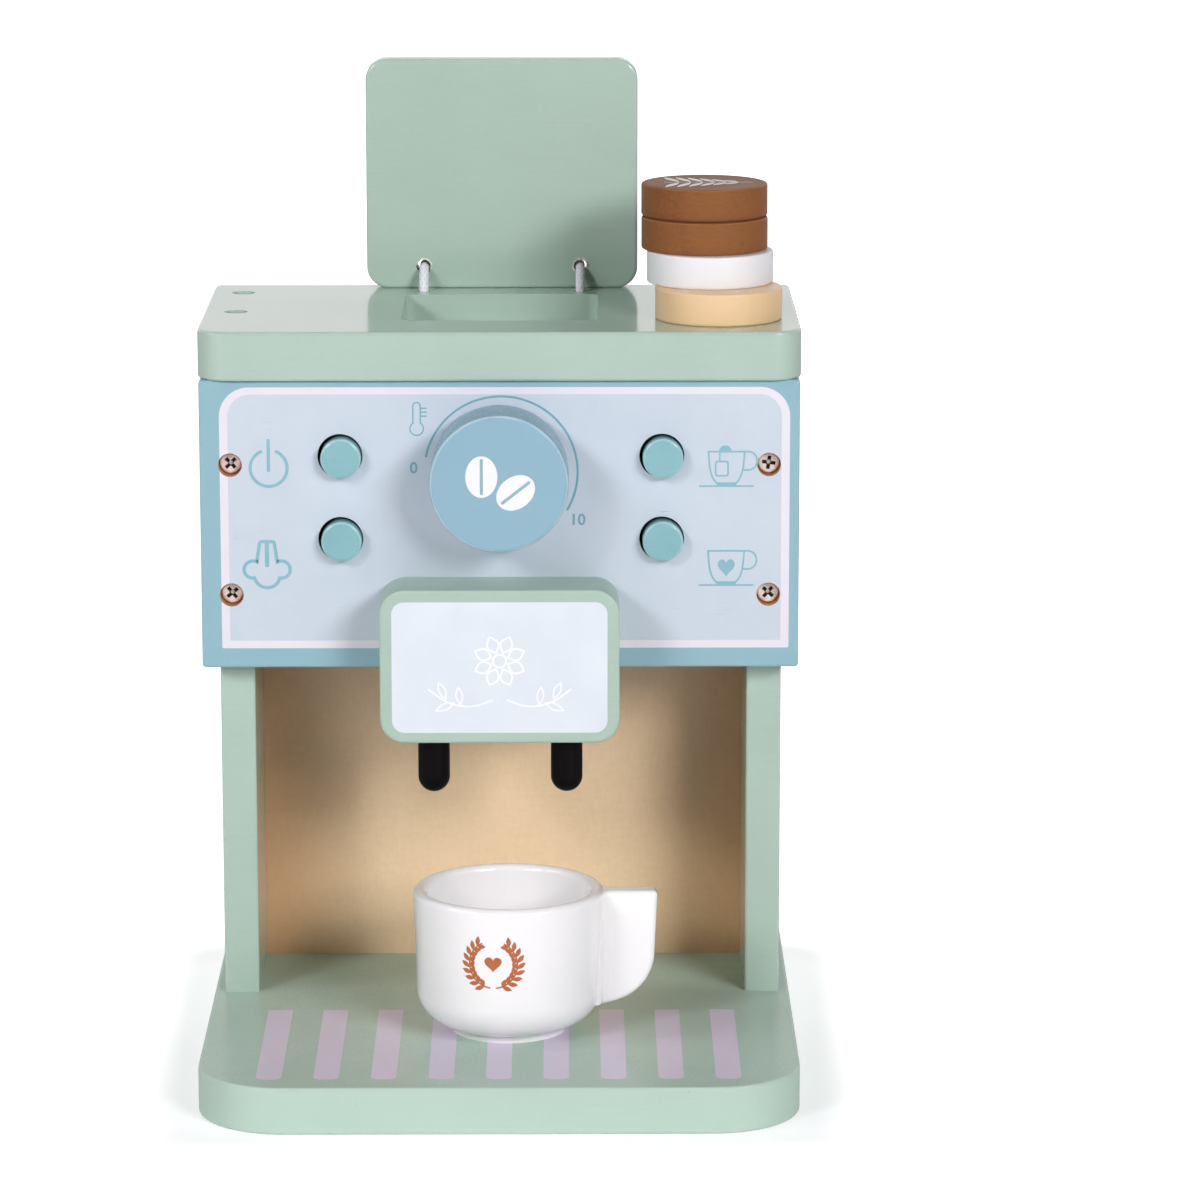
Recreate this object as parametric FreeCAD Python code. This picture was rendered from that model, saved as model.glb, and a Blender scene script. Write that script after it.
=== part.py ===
import FreeCAD, Part
import math
import os

# Toy coffee maker of painted wood, standing on its base board.
# Millimetres. X to the right, Y to the back, Z up.
# The origin is the middle of the base board's underside.

# Top plate with a pocket for one play disc
plate_width = 175.0
plate_depth = 94.5
plate_thick = 14.3
plate_front_corner = 9.0
pocket_width = 58.0
pocket_length = 51.5
pocket_depth = 10.0
pocket_corner = 3.0
pocket_from_front = 22.5

# Base board, a little narrower than the top plate
base_side_setback = 2.0
base_width = plate_width - 2 * base_side_setback
base_depth = 180.0
base_thick = 13.7
base_front_corner = 25.0

# Front board behind the plate's front edge
board_side_setback = 0.5
board_width = plate_width - 2 * board_side_setback
board_height = 84.9
board_thick = 9.5
board_setback = 2.0

# Side walls, standing on the base board behind the front board
wall_side_setback = 3.1
walls_outer_width = base_width - 2 * wall_side_setback
wall_thick = 10.2
wall_back_setback = 2.0
wall_depth = plate_depth - board_setback - board_thick - wall_back_setback
wall_height = 185.9

# Inner back panel and the spring backing board, both held in wall grooves
panel_setback = 41.8
panel_thick = 4.0
backing_thick = 5.0
backing_height = 52.0
groove_depth = 3.0
groove_clearance = 0.1

# Lid, standing open on the plate's back edge
lid_width = 82.2
lid_height = 69.7
lid_thick = 7.7
lid_corner = 6.5

# Elastic cord that hinges the lid
cord_diameter = 2.8
cord_hole_diameter = 4.0
cord_hole_spacing = 47.4
cord_hole_inset = 6.75
cord_hole_shift = 0.5
cord_bend = 3.5
cord_turn = 2.2
cord_gap_behind_lid = 0.2
knot_diameter = 6.2
cord_tail = 7.0

# Knob on its axle
knob_diameter = 40.0
knob_reach = 20.0
knob_gap = 0.5
knob_edge = 1.3
knob_drop = 26.9
axle_diameter = 6.0
axle_in_knob = 12.0
axle_clearance = 0.07
washer_diameter = 15.0
washer_thick = 1.2
washer_gap = 0.3

# Push buttons, each a dowel with a collar behind the board, loose in its hole
button_diameter = 11.8
button_hole_diameter = 13.0
button_reach = 4.0
button_spacing = 93.2
button_shift = 0.4
button_drops = (22.2, 46.6)
button_edge = 1.0
button_sits_aside = 0.3
button_sits_low = 0.25
collar_diameter = 18.0
collar_thick = 3.0

# Springs behind the buttons
spring_outer = 9.6
spring_wire = 0.8
spring_room = 18.0
spring_turns = 6
spring_seat_depth = 1.5
spring_seat_clearance = 0.5
spring_end_gap = 0.05

# Dispenser block and its two spouts
block_width = 69.2
block_height = 45.1
block_depth = 20.0
block_corner = 7.2
block_drop = 57.9
spout_diameter = 9.2
spout_reach = 16.5
spout_tenon = 10.0
spout_spacing = 38.6

# Wood screws
head_diameter = 6.4
head_height = 2.0
head_round = 0.8
shank_diameter = 3.0
shank_clearance = 0.05
point_length = 4.0
point_diameter = 0.75
recess_length = 3.9
recess_width = 1.05
recess_depth = 1.2
recess_turn = 45.0
board_recess_turns = (45.0, 50.0, 8.0, 42.0)
bore_clearance = 0.25
board_bore_depth = 5.5
plate_bore_depth = 6.0
base_bore_depth = 4.0
grip_in_wall = 20.0
grip_in_block = 12.0
grip_in_axle = 9.0
screws_outside_wall_middle = 0.8
board_screw_drops = (24.8, 63.2)
plate_screw_depths = (39.8, 77.7)
base_screw_inset = 14.0
block_screw_spacing = 40.0
block_screw_rise = 7.0
plug_recess = 0.6

# Play discs, stacked on the plate from bottom to top
disc_diameter = 37.2
disc_thick = 9.5
disc_edge = 0.7
disc_lid_gap = 0.4
disc_offsets = ((3.9, 27.6), (1.6, 36.2), (0.0, 39.3), (0.0, 42.0))

# Cup on the base board
cup_radius = 27.6
cup_height = 42.3
cup_wall = 3.8
cup_taper = 1.0
cup_shoulder = 13.0
cup_belly_out = 0.76
cup_belly_up = 0.33
cup_foot_radius = 16.5
cup_foot_height = 2.3
cup_floor = 5.0
cup_inner_round = 9.0
cup_x = 2.4
cup_y = -30.0
handle_reach = 43.1
handle_thick = 6.5
handle_lean = 0.9
handle_straight = 19.0
handle_round = 1.4
handle_low = 8.3
handle_root = 0.5
handle_drop = 0.8
handle_blend = 4.0

# Edge rounding of the painted wood
edge_round = 1.0
small_round = 0.8
back_corner = 2.0

# Two places nearer than this are the same place
same_place = 1e-6

# Places worked out from the sizes above
back_y = base_depth / 2
plate_front_y = back_y - plate_depth
board_front_y = plate_front_y + board_setback
board_back_y = board_front_y + board_thick
wall_front_y = board_back_y
wall_back_y = wall_front_y + wall_depth
wall_outer_x = walls_outer_width / 2
wall_inner_x = wall_outer_x - wall_thick
wall_middle_x = wall_outer_x - wall_thick / 2
screw_x = wall_middle_x + screws_outside_wall_middle
plate_under_z = base_thick + wall_height
plate_top_z = plate_under_z + plate_thick
board_low_z = plate_under_z - board_height
panel_front_y = wall_front_y + panel_setback
backing_front_y = board_back_y + collar_thick + spring_room
backing_middle_z = plate_under_z - sum(button_drops) / len(button_drops)
lid_front_y = back_y - lid_thick
cord_hole_y = lid_front_y - cord_hole_inset
cord_y = cord_hole_y + cord_hole_shift
cord_z = plate_top_z + cord_hole_inset - cord_hole_shift
knob_z = plate_under_z - knob_drop
block_top_z = plate_under_z - block_drop
block_low_z = block_top_z - block_height
block_front_y = board_front_y - block_depth
block_middle_y = board_front_y - block_depth / 2

Y = FreeCAD.Vector(0, 1, 0)
Z = FreeCAD.Vector(0, 0, 1)
Point = FreeCAD.Vector


def box(low, high):
    """A block between two opposite corners."""
    size = high - low
    return Part.makeBox(size.x, size.y, size.z, low)


def rod(start, direction, diameter, length):
    """A round bar from its start point."""
    return Part.makeCylinder(diameter / 2, length, start, direction)


def runs_along(edge, axis):
    """Whether a straight edge is parallel to an axis."""
    if edge.Curve.TypeId != "Part::GeomLine":
        return False
    return abs(abs(edge.tangentAt(edge.FirstParameter).dot(axis)) - 1) < same_place


def round_corners(shape, axis, radius, chosen=lambda place: True):
    """Round the chosen edges that run along an axis."""
    edges = [e for e in shape.Edges if runs_along(e, axis) and chosen(e.CenterOfMass)]
    return shape.makeFillet(radius, edges)


def level_edges(shape, axis, levels):
    """Edges that lie wholly in one of the levels across an axis."""
    found = []
    for edge in shape.Edges:
        span = edge.LastParameter - edge.FirstParameter
        spots = [edge.valueAt(edge.FirstParameter + span * share) for share in (0, 0.5, 1)]
        for level in levels:
            if all(abs(spot.dot(axis) - level) < same_place for spot in spots):
                found.append(edge)
    return found


def soften(shape, axis, levels, radius):
    """Round all edges in the given levels across an axis."""
    return shape.makeFillet(radius, level_edges(shape, axis, levels))


def screw(head_spot, direction, grip, cross_turn):
    """A pan-head screw with a cross recess; the grip is its length under the head."""
    turn = FreeCAD.Rotation(Z, direction)
    head = rod(Point(0, 0, -head_height), Z, head_diameter, head_height)
    head = head.makeFillet(head_round, level_edges(head, Z, [-head_height]))
    for across in (Point(recess_length, recess_width, 0), Point(recess_width, recess_length, 0)):
        low = Point(-across.x / 2, -across.y / 2, -head_height)
        high = Point(across.x / 2, across.y / 2, recess_depth - head_height)
        arm = box(low, high)
        arm.rotate(Point(0, 0, 0), Z, cross_turn)
        head = head.cut(arm)
    shank = rod(Point(0, 0, 0), Z, shank_diameter, grip - point_length)
    tip_start = Point(0, 0, grip - point_length)
    tip = Part.makeCone(shank_diameter / 2, point_diameter / 2, point_length, tip_start)
    whole = head.fuse([shank, tip]).removeSplitter()
    whole.Placement = FreeCAD.Placement(head_spot, turn)
    return whole


def screw_hole(head_spot, direction, grip):
    """The pilot hole and the shank hole of a screw."""
    return rod(head_spot, direction, shank_diameter + 2 * shank_clearance, grip + shank_clearance)


def head_bore(surface_spot, direction, depth):
    """The counterbore that a screw's head sinks into."""
    return rod(surface_spot, direction, head_diameter + 2 * bore_clearance, depth)


# Screw places, each a point where the underside of the head sits, with its direction
board_screws = []
for side in (-1, 1):
    for drop in board_screw_drops:
        spot = Point(side * screw_x, board_front_y + board_bore_depth, plate_under_z - drop)
        board_screws.append(spot)
board_screw_grip = board_thick - board_bore_depth + grip_in_wall

plate_screws = []
for side in (-1, 1):
    for depth in plate_screw_depths:
        spot = Point(side * screw_x, plate_front_y + depth, plate_top_z - plate_bore_depth)
        plate_screws.append(spot)
plate_screw_grip = plate_thick - plate_bore_depth + grip_in_wall

base_screws = []
for side in (-1, 1):
    for place in (wall_front_y + base_screw_inset, wall_back_y - base_screw_inset):
        base_screws.append(Point(side * wall_middle_x, place, base_bore_depth))
base_screw_grip = base_thick - base_bore_depth + grip_in_wall

block_screws = []
for side in (-1, 1):
    spot = Point(side * block_screw_spacing / 2, board_back_y, board_low_z + block_screw_rise)
    block_screws.append(spot)
block_screw_grip = board_thick + grip_in_block

# Button holes, and the buttons that sit a little aside and low in them
button_holes = []
button_spots = {}
for side, side_name in ((-1, "left"), (1, "right")):
    for drop, row_name in zip(button_drops, ("upper", "lower")):
        hole = Point(button_shift + side * button_spacing / 2, board_front_y, plate_under_z - drop)
        button_holes.append(hole)
        spot = hole + Point(button_sits_aside, 0, -button_sits_low)
        button_spots[side_name + "_" + row_name] = spot


def base_board():
    """The foot of the machine, with large rounded front corners."""
    low = Point(-base_width / 2, -base_depth / 2, 0)
    shape = box(low, Point(base_width / 2, base_depth / 2, base_thick))
    shape = round_corners(shape, Z, base_front_corner, lambda place: place.y < 0)
    shape = round_corners(shape, Z, back_corner, lambda place: place.y > 0)
    shape = soften(shape, Z, [0, base_thick], edge_round)
    for spot in base_screws:
        under = Point(spot.x, spot.y, 0)
        shape = shape.cut(head_bore(under, Z, base_bore_depth))
        shape = shape.cut(screw_hole(spot, Z, base_screw_grip))
    return shape


def wall(side):
    """A side wall with grooves for the back panel and the backing board."""
    near = side * wall_inner_x
    far = side * wall_outer_x
    low = Point(min(near, far), wall_front_y, base_thick)
    high = Point(max(near, far), wall_back_y, plate_under_z)
    shape = box(low, high)
    shape = round_corners(shape, Z, small_round)
    deep = side * (wall_inner_x + groove_depth)
    grooves = [
        (panel_front_y, panel_thick, base_thick),
        (backing_front_y, backing_thick, backing_middle_z - backing_height / 2),
    ]
    for front, thick, bottom in grooves:
        groove_low = Point(min(near, deep), front - groove_clearance, bottom)
        groove_high = Point(max(near, deep), front + thick + groove_clearance, plate_under_z)
        shape = shape.cut(box(groove_low, groove_high))
    for spot in board_screws:
        if spot.x * side > 0:
            shape = shape.cut(screw_hole(spot, Y, board_screw_grip))
    for spot in plate_screws:
        if spot.x * side > 0:
            shape = shape.cut(screw_hole(spot, -Z, plate_screw_grip))
    for spot in base_screws:
        if spot.x * side > 0:
            shape = shape.cut(screw_hole(spot, Z, base_screw_grip))
    return shape


def inner_back_panel():
    """The panel behind the serving bay, let into the wall grooves."""
    half = wall_inner_x + groove_depth - groove_clearance
    low = Point(-half, panel_front_y, base_thick)
    return box(low, Point(half, panel_front_y + panel_thick, plate_under_z))


def spring_backing_board():
    """The board that the button springs push against."""
    half = wall_inner_x + groove_depth - groove_clearance
    bottom = backing_middle_z - backing_height / 2
    low = Point(-half, backing_front_y, bottom)
    shape = box(low, Point(half, backing_front_y + backing_thick, bottom + backing_height))
    seat = spring_outer + 2 * spring_seat_clearance
    for spot in button_spots.values():
        shape = shape.cut(rod(Point(spot.x, backing_front_y, spot.z), Y, seat, spring_seat_depth))
    return shape


def front_board():
    """The printed board with the holes for the knob, buttons and screws."""
    low = Point(-board_width / 2, board_front_y, board_low_z)
    shape = box(low, Point(board_width / 2, board_back_y, plate_under_z))
    shape = round_corners(shape, Y, edge_round)
    shape = soften(shape, Y, [board_front_y, board_back_y], small_round)
    for spot in board_screws:
        front = Point(spot.x, board_front_y, spot.z)
        shape = shape.cut(head_bore(front, Y, board_bore_depth))
        shape = shape.cut(screw_hole(spot, Y, board_screw_grip))
    for spot in button_holes:
        shape = shape.cut(rod(spot, Y, button_hole_diameter, board_thick))
    axle_hole = axle_diameter + 2 * axle_clearance
    shape = shape.cut(rod(Point(0, board_front_y, knob_z), Y, axle_hole, board_thick))
    for spot in block_screws:
        shape = shape.cut(screw_hole(spot, -Y, block_screw_grip))
    return shape


def top_plate():
    """The top plate with its pocket, cord holes and sunk screws."""
    low = Point(-plate_width / 2, plate_front_y, plate_under_z)
    shape = box(low, Point(plate_width / 2, back_y, plate_top_z))
    middle = (plate_front_y + back_y) / 2
    shape = round_corners(shape, Z, plate_front_corner, lambda place: place.y < middle)
    shape = round_corners(shape, Z, back_corner, lambda place: place.y > middle)
    shape = soften(shape, Z, [plate_under_z, plate_top_z], edge_round)
    pocket_front_y = plate_front_y + pocket_from_front
    pocket_low = Point(-pocket_width / 2, pocket_front_y, plate_top_z - pocket_depth)
    pocket_high = Point(pocket_width / 2, pocket_front_y + pocket_length, plate_top_z)
    shape = shape.cut(round_corners(box(pocket_low, pocket_high), Z, pocket_corner))
    for side in (-1, 1):
        hole = Point(side * cord_hole_spacing / 2, cord_hole_y, plate_under_z)
        shape = shape.cut(rod(hole, Z, cord_hole_diameter, plate_thick))
    for spot in plate_screws:
        top = Point(spot.x, spot.y, plate_top_z)
        shape = shape.cut(head_bore(top, -Z, plate_bore_depth))
        shape = shape.cut(screw_hole(spot, -Z, plate_screw_grip))
    return shape


def lid():
    """The lid over the pocket, with two holes for the cord near its lower edge."""
    low = Point(-lid_width / 2, lid_front_y, plate_top_z)
    shape = box(low, Point(lid_width / 2, back_y, plate_top_z + lid_height))
    shape = round_corners(shape, Y, lid_corner)
    shape = soften(shape, Y, [lid_front_y, back_y], edge_round)
    for side in (-1, 1):
        hole = Point(side * cord_hole_spacing / 2, lid_front_y, plate_top_z + cord_hole_inset)
        shape = shape.cut(rod(hole, Y, cord_hole_diameter, lid_thick))
    return shape


def arc(start, corner, end):
    """A round bend between two tangents of equal length that meet at a corner."""
    middle = (start + end) * 0.5
    rise = (corner - middle).Length
    half = (start - middle).Length
    sagitta = half * math.tan(math.atan2(rise, half) / 2)
    crown = middle + (corner - middle) * (sagitta / rise)
    return Part.Arc(start, crown, end).toShape()


def tube(edges, diameter):
    """A round cord or wire along edges that meet tangentially."""
    path = Part.Wire(edges)
    first = edges[0]
    start = first.valueAt(first.FirstParameter)
    heading = first.tangentAt(first.FirstParameter)
    section = Part.Wire(Part.makeCircle(diameter / 2, start, heading))
    shape = path.makePipeShell([section], True, False)
    expected = math.pi * diameter ** 2 / 4 * path.Length
    print("tube", round(path.Length, 2), "mm long, volume share", round(shape.Volume / expected, 4))
    return shape


def hinge_cord_ends():
    """The knots under the plate and the cord in the plate's holes."""
    solids = []
    for side in (-1, 1):
        x = side * cord_hole_spacing / 2
        knot_z = plate_under_z - knot_diameter / 2
        knot = Part.makeSphere(knot_diameter / 2, Point(x, cord_y, knot_z))
        tail = rod(Point(x, cord_y, knot_z), -Z, cord_diameter, cord_tail)
        rise = rod(Point(x, cord_y, knot_z), Z, cord_diameter, plate_top_z - knot_z)
        solids.append(knot.fuse([tail, rise]).removeSplitter())
    return Part.makeCompound(solids)


def hinge_cord_strands():
    """The two short strands from the plate's holes to the lid's holes."""
    solids = []
    for side in (-1, 1):
        x = side * cord_hole_spacing / 2
        start = Point(x, cord_y, plate_top_z)
        end = Point(x, lid_front_y, cord_z)
        reach = cord_bend * math.tan(math.pi / 8)
        low_corner = start + Z * reach
        high_corner = end - Y * reach
        slope = (high_corner - low_corner).normalize()
        low_end = low_corner + slope * reach
        high_start = high_corner - slope * reach
        edges = [
            arc(start, low_corner, low_end),
            Part.LineSegment(low_end, high_start).toShape(),
            arc(high_start, high_corner, end),
        ]
        solids.append(tube(edges, cord_diameter))
    return Part.makeCompound(solids)


def hinge_cord_loop():
    """The cord through the lid's holes and across behind the lid."""
    x = cord_hole_spacing / 2
    run_y = back_y + cord_gap_behind_lid + cord_diameter / 2
    left_mouth = Point(-x, lid_front_y, cord_z)
    left_bend = Point(-x, run_y - cord_turn, cord_z)
    left_corner = Point(-x, run_y, cord_z)
    left_run = Point(-x + cord_turn, run_y, cord_z)
    right_run = Point(x - cord_turn, run_y, cord_z)
    right_corner = Point(x, run_y, cord_z)
    right_bend = Point(x, run_y - cord_turn, cord_z)
    right_mouth = Point(x, lid_front_y, cord_z)
    edges = [
        Part.LineSegment(left_mouth, left_bend).toShape(),
        arc(left_bend, left_corner, left_run),
        Part.LineSegment(left_run, right_run).toShape(),
        arc(right_run, right_corner, right_bend),
        Part.LineSegment(right_bend, right_mouth).toShape(),
    ]
    return tube(edges, cord_diameter)


def dispenser_block():
    """The block under the knob that carries the spouts."""
    low = Point(-block_width / 2, block_front_y, block_low_z)
    shape = box(low, Point(block_width / 2, board_front_y, block_top_z))
    shape = round_corners(shape, Y, block_corner)
    shape = soften(shape, Y, [block_front_y], edge_round)
    for spot in block_screws:
        shape = shape.cut(screw_hole(spot, -Y, block_screw_grip))
    for side in (-1, 1):
        hole = Point(side * spout_spacing / 2, block_middle_y, block_low_z)
        shape = shape.cut(rod(hole, Z, spout_diameter, spout_tenon))
    return shape


def spout(side):
    """A black spout with a round tip, glued into the block."""
    x = side * spout_spacing / 2
    straight = spout_reach - spout_diameter / 2
    tip = Point(x, block_middle_y, block_low_z - straight)
    bar = rod(tip, Z, spout_diameter, straight + spout_tenon)
    return bar.fuse(Part.makeSphere(spout_diameter / 2, tip)).removeSplitter()


def knob():
    """The round knob with a blind hole for its axle."""
    front = Point(0, board_front_y - knob_reach, knob_z)
    shape = rod(front, Y, knob_diameter, knob_reach - knob_gap)
    shape = soften(shape, Y, [front.y, board_front_y - knob_gap], knob_edge)
    blind = Point(0, board_front_y - knob_gap - axle_in_knob, knob_z)
    return shape.cut(rod(blind, Y, axle_diameter, axle_in_knob))


def knob_axle():
    """The dowel that the knob turns on, with a pilot hole in its end."""
    start = Point(0, board_front_y - knob_gap - axle_in_knob, knob_z)
    length = axle_in_knob + knob_gap + board_thick + washer_gap
    shape = rod(start, Y, axle_diameter, length)
    pilot_depth = grip_in_axle + shank_clearance
    pilot_start = start + Y * (length - pilot_depth)
    return shape.cut(rod(pilot_start, Y, shank_diameter + 2 * shank_clearance, pilot_depth))


def knob_washer():
    """The washer that keeps the axle in the board."""
    face = Point(0, board_back_y + washer_gap, knob_z)
    shape = rod(face, Y, washer_diameter, washer_thick)
    return shape.cut(rod(face, Y, shank_diameter + 2 * shank_clearance, washer_thick))


def knob_screw():
    """The screw through the washer into the axle's end."""
    head_spot = Point(0, board_back_y + washer_gap + washer_thick, knob_z)
    return screw(head_spot, -Y, washer_thick + grip_in_axle, recess_turn)


def button(spot):
    """A push button: a dowel with a softened front edge."""
    front = spot - Y * button_reach
    shape = rod(front, Y, button_diameter, button_reach + board_thick + collar_thick)
    return soften(shape, Y, [front.y], button_edge)


def button_collar(spot):
    """The ring glued on the dowel, which stops against the board's back."""
    face = Point(spot.x, board_back_y, spot.z)
    ring = rod(face, Y, collar_diameter, collar_thick)
    return ring.cut(rod(face, Y, button_diameter, collar_thick))


def button_spring(spot):
    """The coil spring behind a button: a helix of arcs, two to each quarter turn."""
    radius = (spring_outer - spring_wire) / 2
    start_y = board_back_y + collar_thick + spring_wire / 2 + spring_end_gap
    end_y = backing_front_y + spring_seat_depth - spring_wire / 2 - spring_end_gap
    steps = spring_turns * 4
    rise = (end_y - start_y) / steps
    turn = math.pi / 2
    places = []
    headings = []
    for step in range(steps + 1):
        angle = turn * step
        round_part = Point(math.cos(angle), 0, math.sin(angle))
        places.append(Point(spot.x, start_y + rise * step, spot.z) + round_part * radius)
        along = Point(-math.sin(angle) * radius * turn, rise, math.cos(angle) * radius * turn)
        headings.append(along.normalize())
    edges = []
    for step in range(steps):
        chord = places[step + 1] - places[step]
        both = headings[step] + headings[step + 1]
        spread = 2 * (1 - headings[step].dot(headings[step + 1]))
        lean = chord.dot(both)
        reach = (math.sqrt(lean ** 2 + spread * chord.dot(chord)) - lean) / spread
        first_corner = places[step] + headings[step] * reach
        second_corner = places[step + 1] - headings[step + 1] * reach
        join = (first_corner + second_corner) * 0.5
        edges.append(arc(places[step], first_corner, join))
        edges.append(arc(join, second_corner, places[step + 1]))
    return tube(edges, spring_wire)


def disc(level):
    """A play disc at its level of the stack, counted from the plate."""
    from_lid, depth = disc_offsets[level]
    x = lid_width / 2 + disc_lid_gap + disc_diameter / 2 + from_lid
    low = Point(x, plate_front_y + depth, plate_top_z + level * disc_thick)
    shape = rod(low, Z, disc_diameter, disc_thick)
    return soften(shape, Z, [low.z, low.z + disc_thick], disc_edge)


def cup():
    """The cup, turned from a profile, with a flat fin for its handle."""
    low_radius = cup_radius - cup_taper
    foot = cup_foot_radius
    rim_middle = cup_radius - cup_wall / 2
    inner_top = cup_radius - cup_wall
    inner_low = inner_top - cup_taper
    rim_z = cup_height - cup_wall / 2
    belly_x = foot + (low_radius - foot) * cup_belly_out
    belly_z = cup_foot_height + (cup_shoulder - cup_foot_height) * cup_belly_up
    bend_x = inner_low - cup_inner_round * (1 - math.cos(math.pi / 4))
    bend_z = cup_floor + cup_inner_round * (1 - math.cos(math.pi / 4))
    floor_edge = inner_low - cup_inner_round
    inner_low_z = cup_floor + cup_inner_round
    edges = [
        Part.LineSegment(Point(0, 0, 0), Point(foot, 0, 0)).toShape(),
        Part.LineSegment(Point(foot, 0, 0), Point(foot, 0, cup_foot_height)).toShape(),
        Part.Arc(
            Point(foot, 0, cup_foot_height),
            Point(belly_x, 0, belly_z),
            Point(low_radius, 0, cup_shoulder),
        ).toShape(),
        Part.LineSegment(Point(low_radius, 0, cup_shoulder), Point(cup_radius, 0, rim_z)).toShape(),
        Part.Arc(
            Point(cup_radius, 0, rim_z),
            Point(rim_middle, 0, cup_height),
            Point(inner_top, 0, rim_z),
        ).toShape(),
        Part.LineSegment(Point(inner_top, 0, rim_z), Point(inner_low, 0, inner_low_z)).toShape(),
        Part.Arc(
            Point(inner_low, 0, inner_low_z),
            Point(bend_x, 0, bend_z),
            Point(floor_edge, 0, cup_floor),
        ).toShape(),
        Part.LineSegment(Point(floor_edge, 0, cup_floor), Point(0, 0, cup_floor)).toShape(),
        Part.LineSegment(Point(0, 0, cup_floor), Point(0, 0, 0)).toShape(),
    ]
    bowl = Part.Face(Part.Wire(edges)).revolve(Point(0, 0, 0), Z, 360)
    root = inner_top + handle_root
    top_z = cup_height - handle_drop
    outer_low = Point(handle_reach - handle_lean, 0, top_z - handle_straight)
    low_end = Point(root, 0, handle_low)
    outer_top = Point(handle_reach, 0, top_z)
    down = (outer_low - outer_top).normalize()
    inward = Point(down.z, 0, -down.x)
    reach = low_end - outer_low
    bend = reach.dot(reach) / (2 * reach.dot(inward))
    bend_middle = outer_low + inward * bend
    bisector = ((outer_low - bend_middle) + (low_end - bend_middle)).normalize()
    outline = [
        Part.LineSegment(low_end, Point(root, 0, top_z)).toShape(),
        Part.LineSegment(Point(root, 0, top_z), outer_top).toShape(),
        Part.LineSegment(outer_top, outer_low).toShape(),
        Part.Arc(outer_low, bend_middle + bisector * bend, low_end).toShape(),
    ]
    side_view = Part.Face(Part.Wire(outline)).extrude(Y * (2 * cup_radius))
    side_view.translate(Y * -cup_radius)
    half = handle_thick / 2
    blend_x = math.sqrt((cup_radius + handle_blend) ** 2 - (half + handle_blend) ** 2)
    blend_middle = Point(blend_x, half + handle_blend, 0)
    on_bowl = blend_middle * (cup_radius / blend_middle.Length)
    on_fin = Point(blend_x, half, 0)
    toward = ((on_bowl - blend_middle) + (on_fin - blend_middle)).normalize()
    crown = blend_middle + toward * handle_blend
    inside = on_bowl * ((inner_top + 2 * handle_root) / cup_radius)
    mirror = FreeCAD.Matrix()
    mirror.scale(1, -1, 1)
    past_end = Point(handle_reach + handle_round, half, 0)
    spots = [inside, on_bowl, crown, on_fin, past_end]
    other = [mirror.multVec(spot) for spot in spots]
    plan = [
        Part.LineSegment(spots[0], spots[1]).toShape(),
        Part.Arc(spots[1], spots[2], spots[3]).toShape(),
        Part.LineSegment(spots[3], spots[4]).toShape(),
        Part.LineSegment(spots[4], other[4]).toShape(),
        Part.LineSegment(other[4], other[3]).toShape(),
        Part.Arc(other[3], other[2], other[1]).toShape(),
        Part.LineSegment(other[1], other[0]).toShape(),
        Part.LineSegment(other[0], spots[0]).toShape(),
    ]
    top_view = Part.Face(Part.Wire(plan)).extrude(Z * cup_height)
    fin = side_view.common(top_view)
    across = [e for e in fin.Edges if runs_along(e, Y)]
    corner = [e for e in across if abs(e.CenterOfMass.x - handle_reach) < same_place]
    fin = fin.makeFillet(handle_round, corner)
    rims = []
    for edge in fin.Edges:
        sides = [abs(edge.valueAt(t).y) for t in (edge.FirstParameter, edge.LastParameter)]
        if all(abs(y - half) < same_place for y in sides):
            rims.append(edge)
    fin = fin.makeFillet(handle_round, rims)
    shape = bowl.fuse(fin).removeSplitter()
    shape.translate(Point(cup_x, cup_y, base_thick))
    return shape


def plugs():
    """The filler over the screw heads of the top plate."""
    solids = []
    for spot in plate_screws:
        depth = plate_bore_depth - head_height - plug_recess
        low = spot + Z * head_height
        solids.append(rod(low, Z, head_diameter + 2 * bore_clearance, depth))
    return Part.makeCompound(solids)


def screws(spots, direction, grip, cross_turns):
    """A group of equal screws, each with the turn of its cross recess."""
    return Part.makeCompound([screw(spot, direction, grip, turn) for spot, turn in zip(spots, cross_turns)])


parts = {
    "base_board": base_board(),
    "left_wall": wall(-1),
    "right_wall": wall(1),
    "inner_back_panel": inner_back_panel(),
    "spring_backing_board": spring_backing_board(),
    "front_board": front_board(),
    "top_plate": top_plate(),
    "lid": lid(),
    "hinge_cord_ends": hinge_cord_ends(),
    "hinge_cord_strands": hinge_cord_strands(),
    "hinge_cord_loop": hinge_cord_loop(),
    "dispenser_block": dispenser_block(),
    "left_spout": spout(-1),
    "right_spout": spout(1),
    "knob": knob(),
    "knob_axle": knob_axle(),
    "knob_washer": knob_washer(),
    "knob_screw": knob_screw(),
    "cup": cup(),
    "front_board_screws": screws(board_screws, Y, board_screw_grip, board_recess_turns),
    "top_plate_screws": screws(plate_screws, -Z, plate_screw_grip, [recess_turn] * len(plate_screws)),
    "top_plate_plugs": plugs(),
    "base_screws": screws(base_screws, Z, base_screw_grip, [recess_turn] * len(base_screws)),
    "dispenser_screws": screws(block_screws, -Y, block_screw_grip, [recess_turn] * len(block_screws)),
}
for name, spot in button_spots.items():
    parts["button_" + name] = button(spot)
    parts["collar_" + name] = button_collar(spot)
    parts["spring_" + name] = button_spring(spot)
for level, disc_name in enumerate(("disc_natural", "disc_white", "disc_brown", "disc_rosetta")):
    parts[disc_name] = disc(level)

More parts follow.
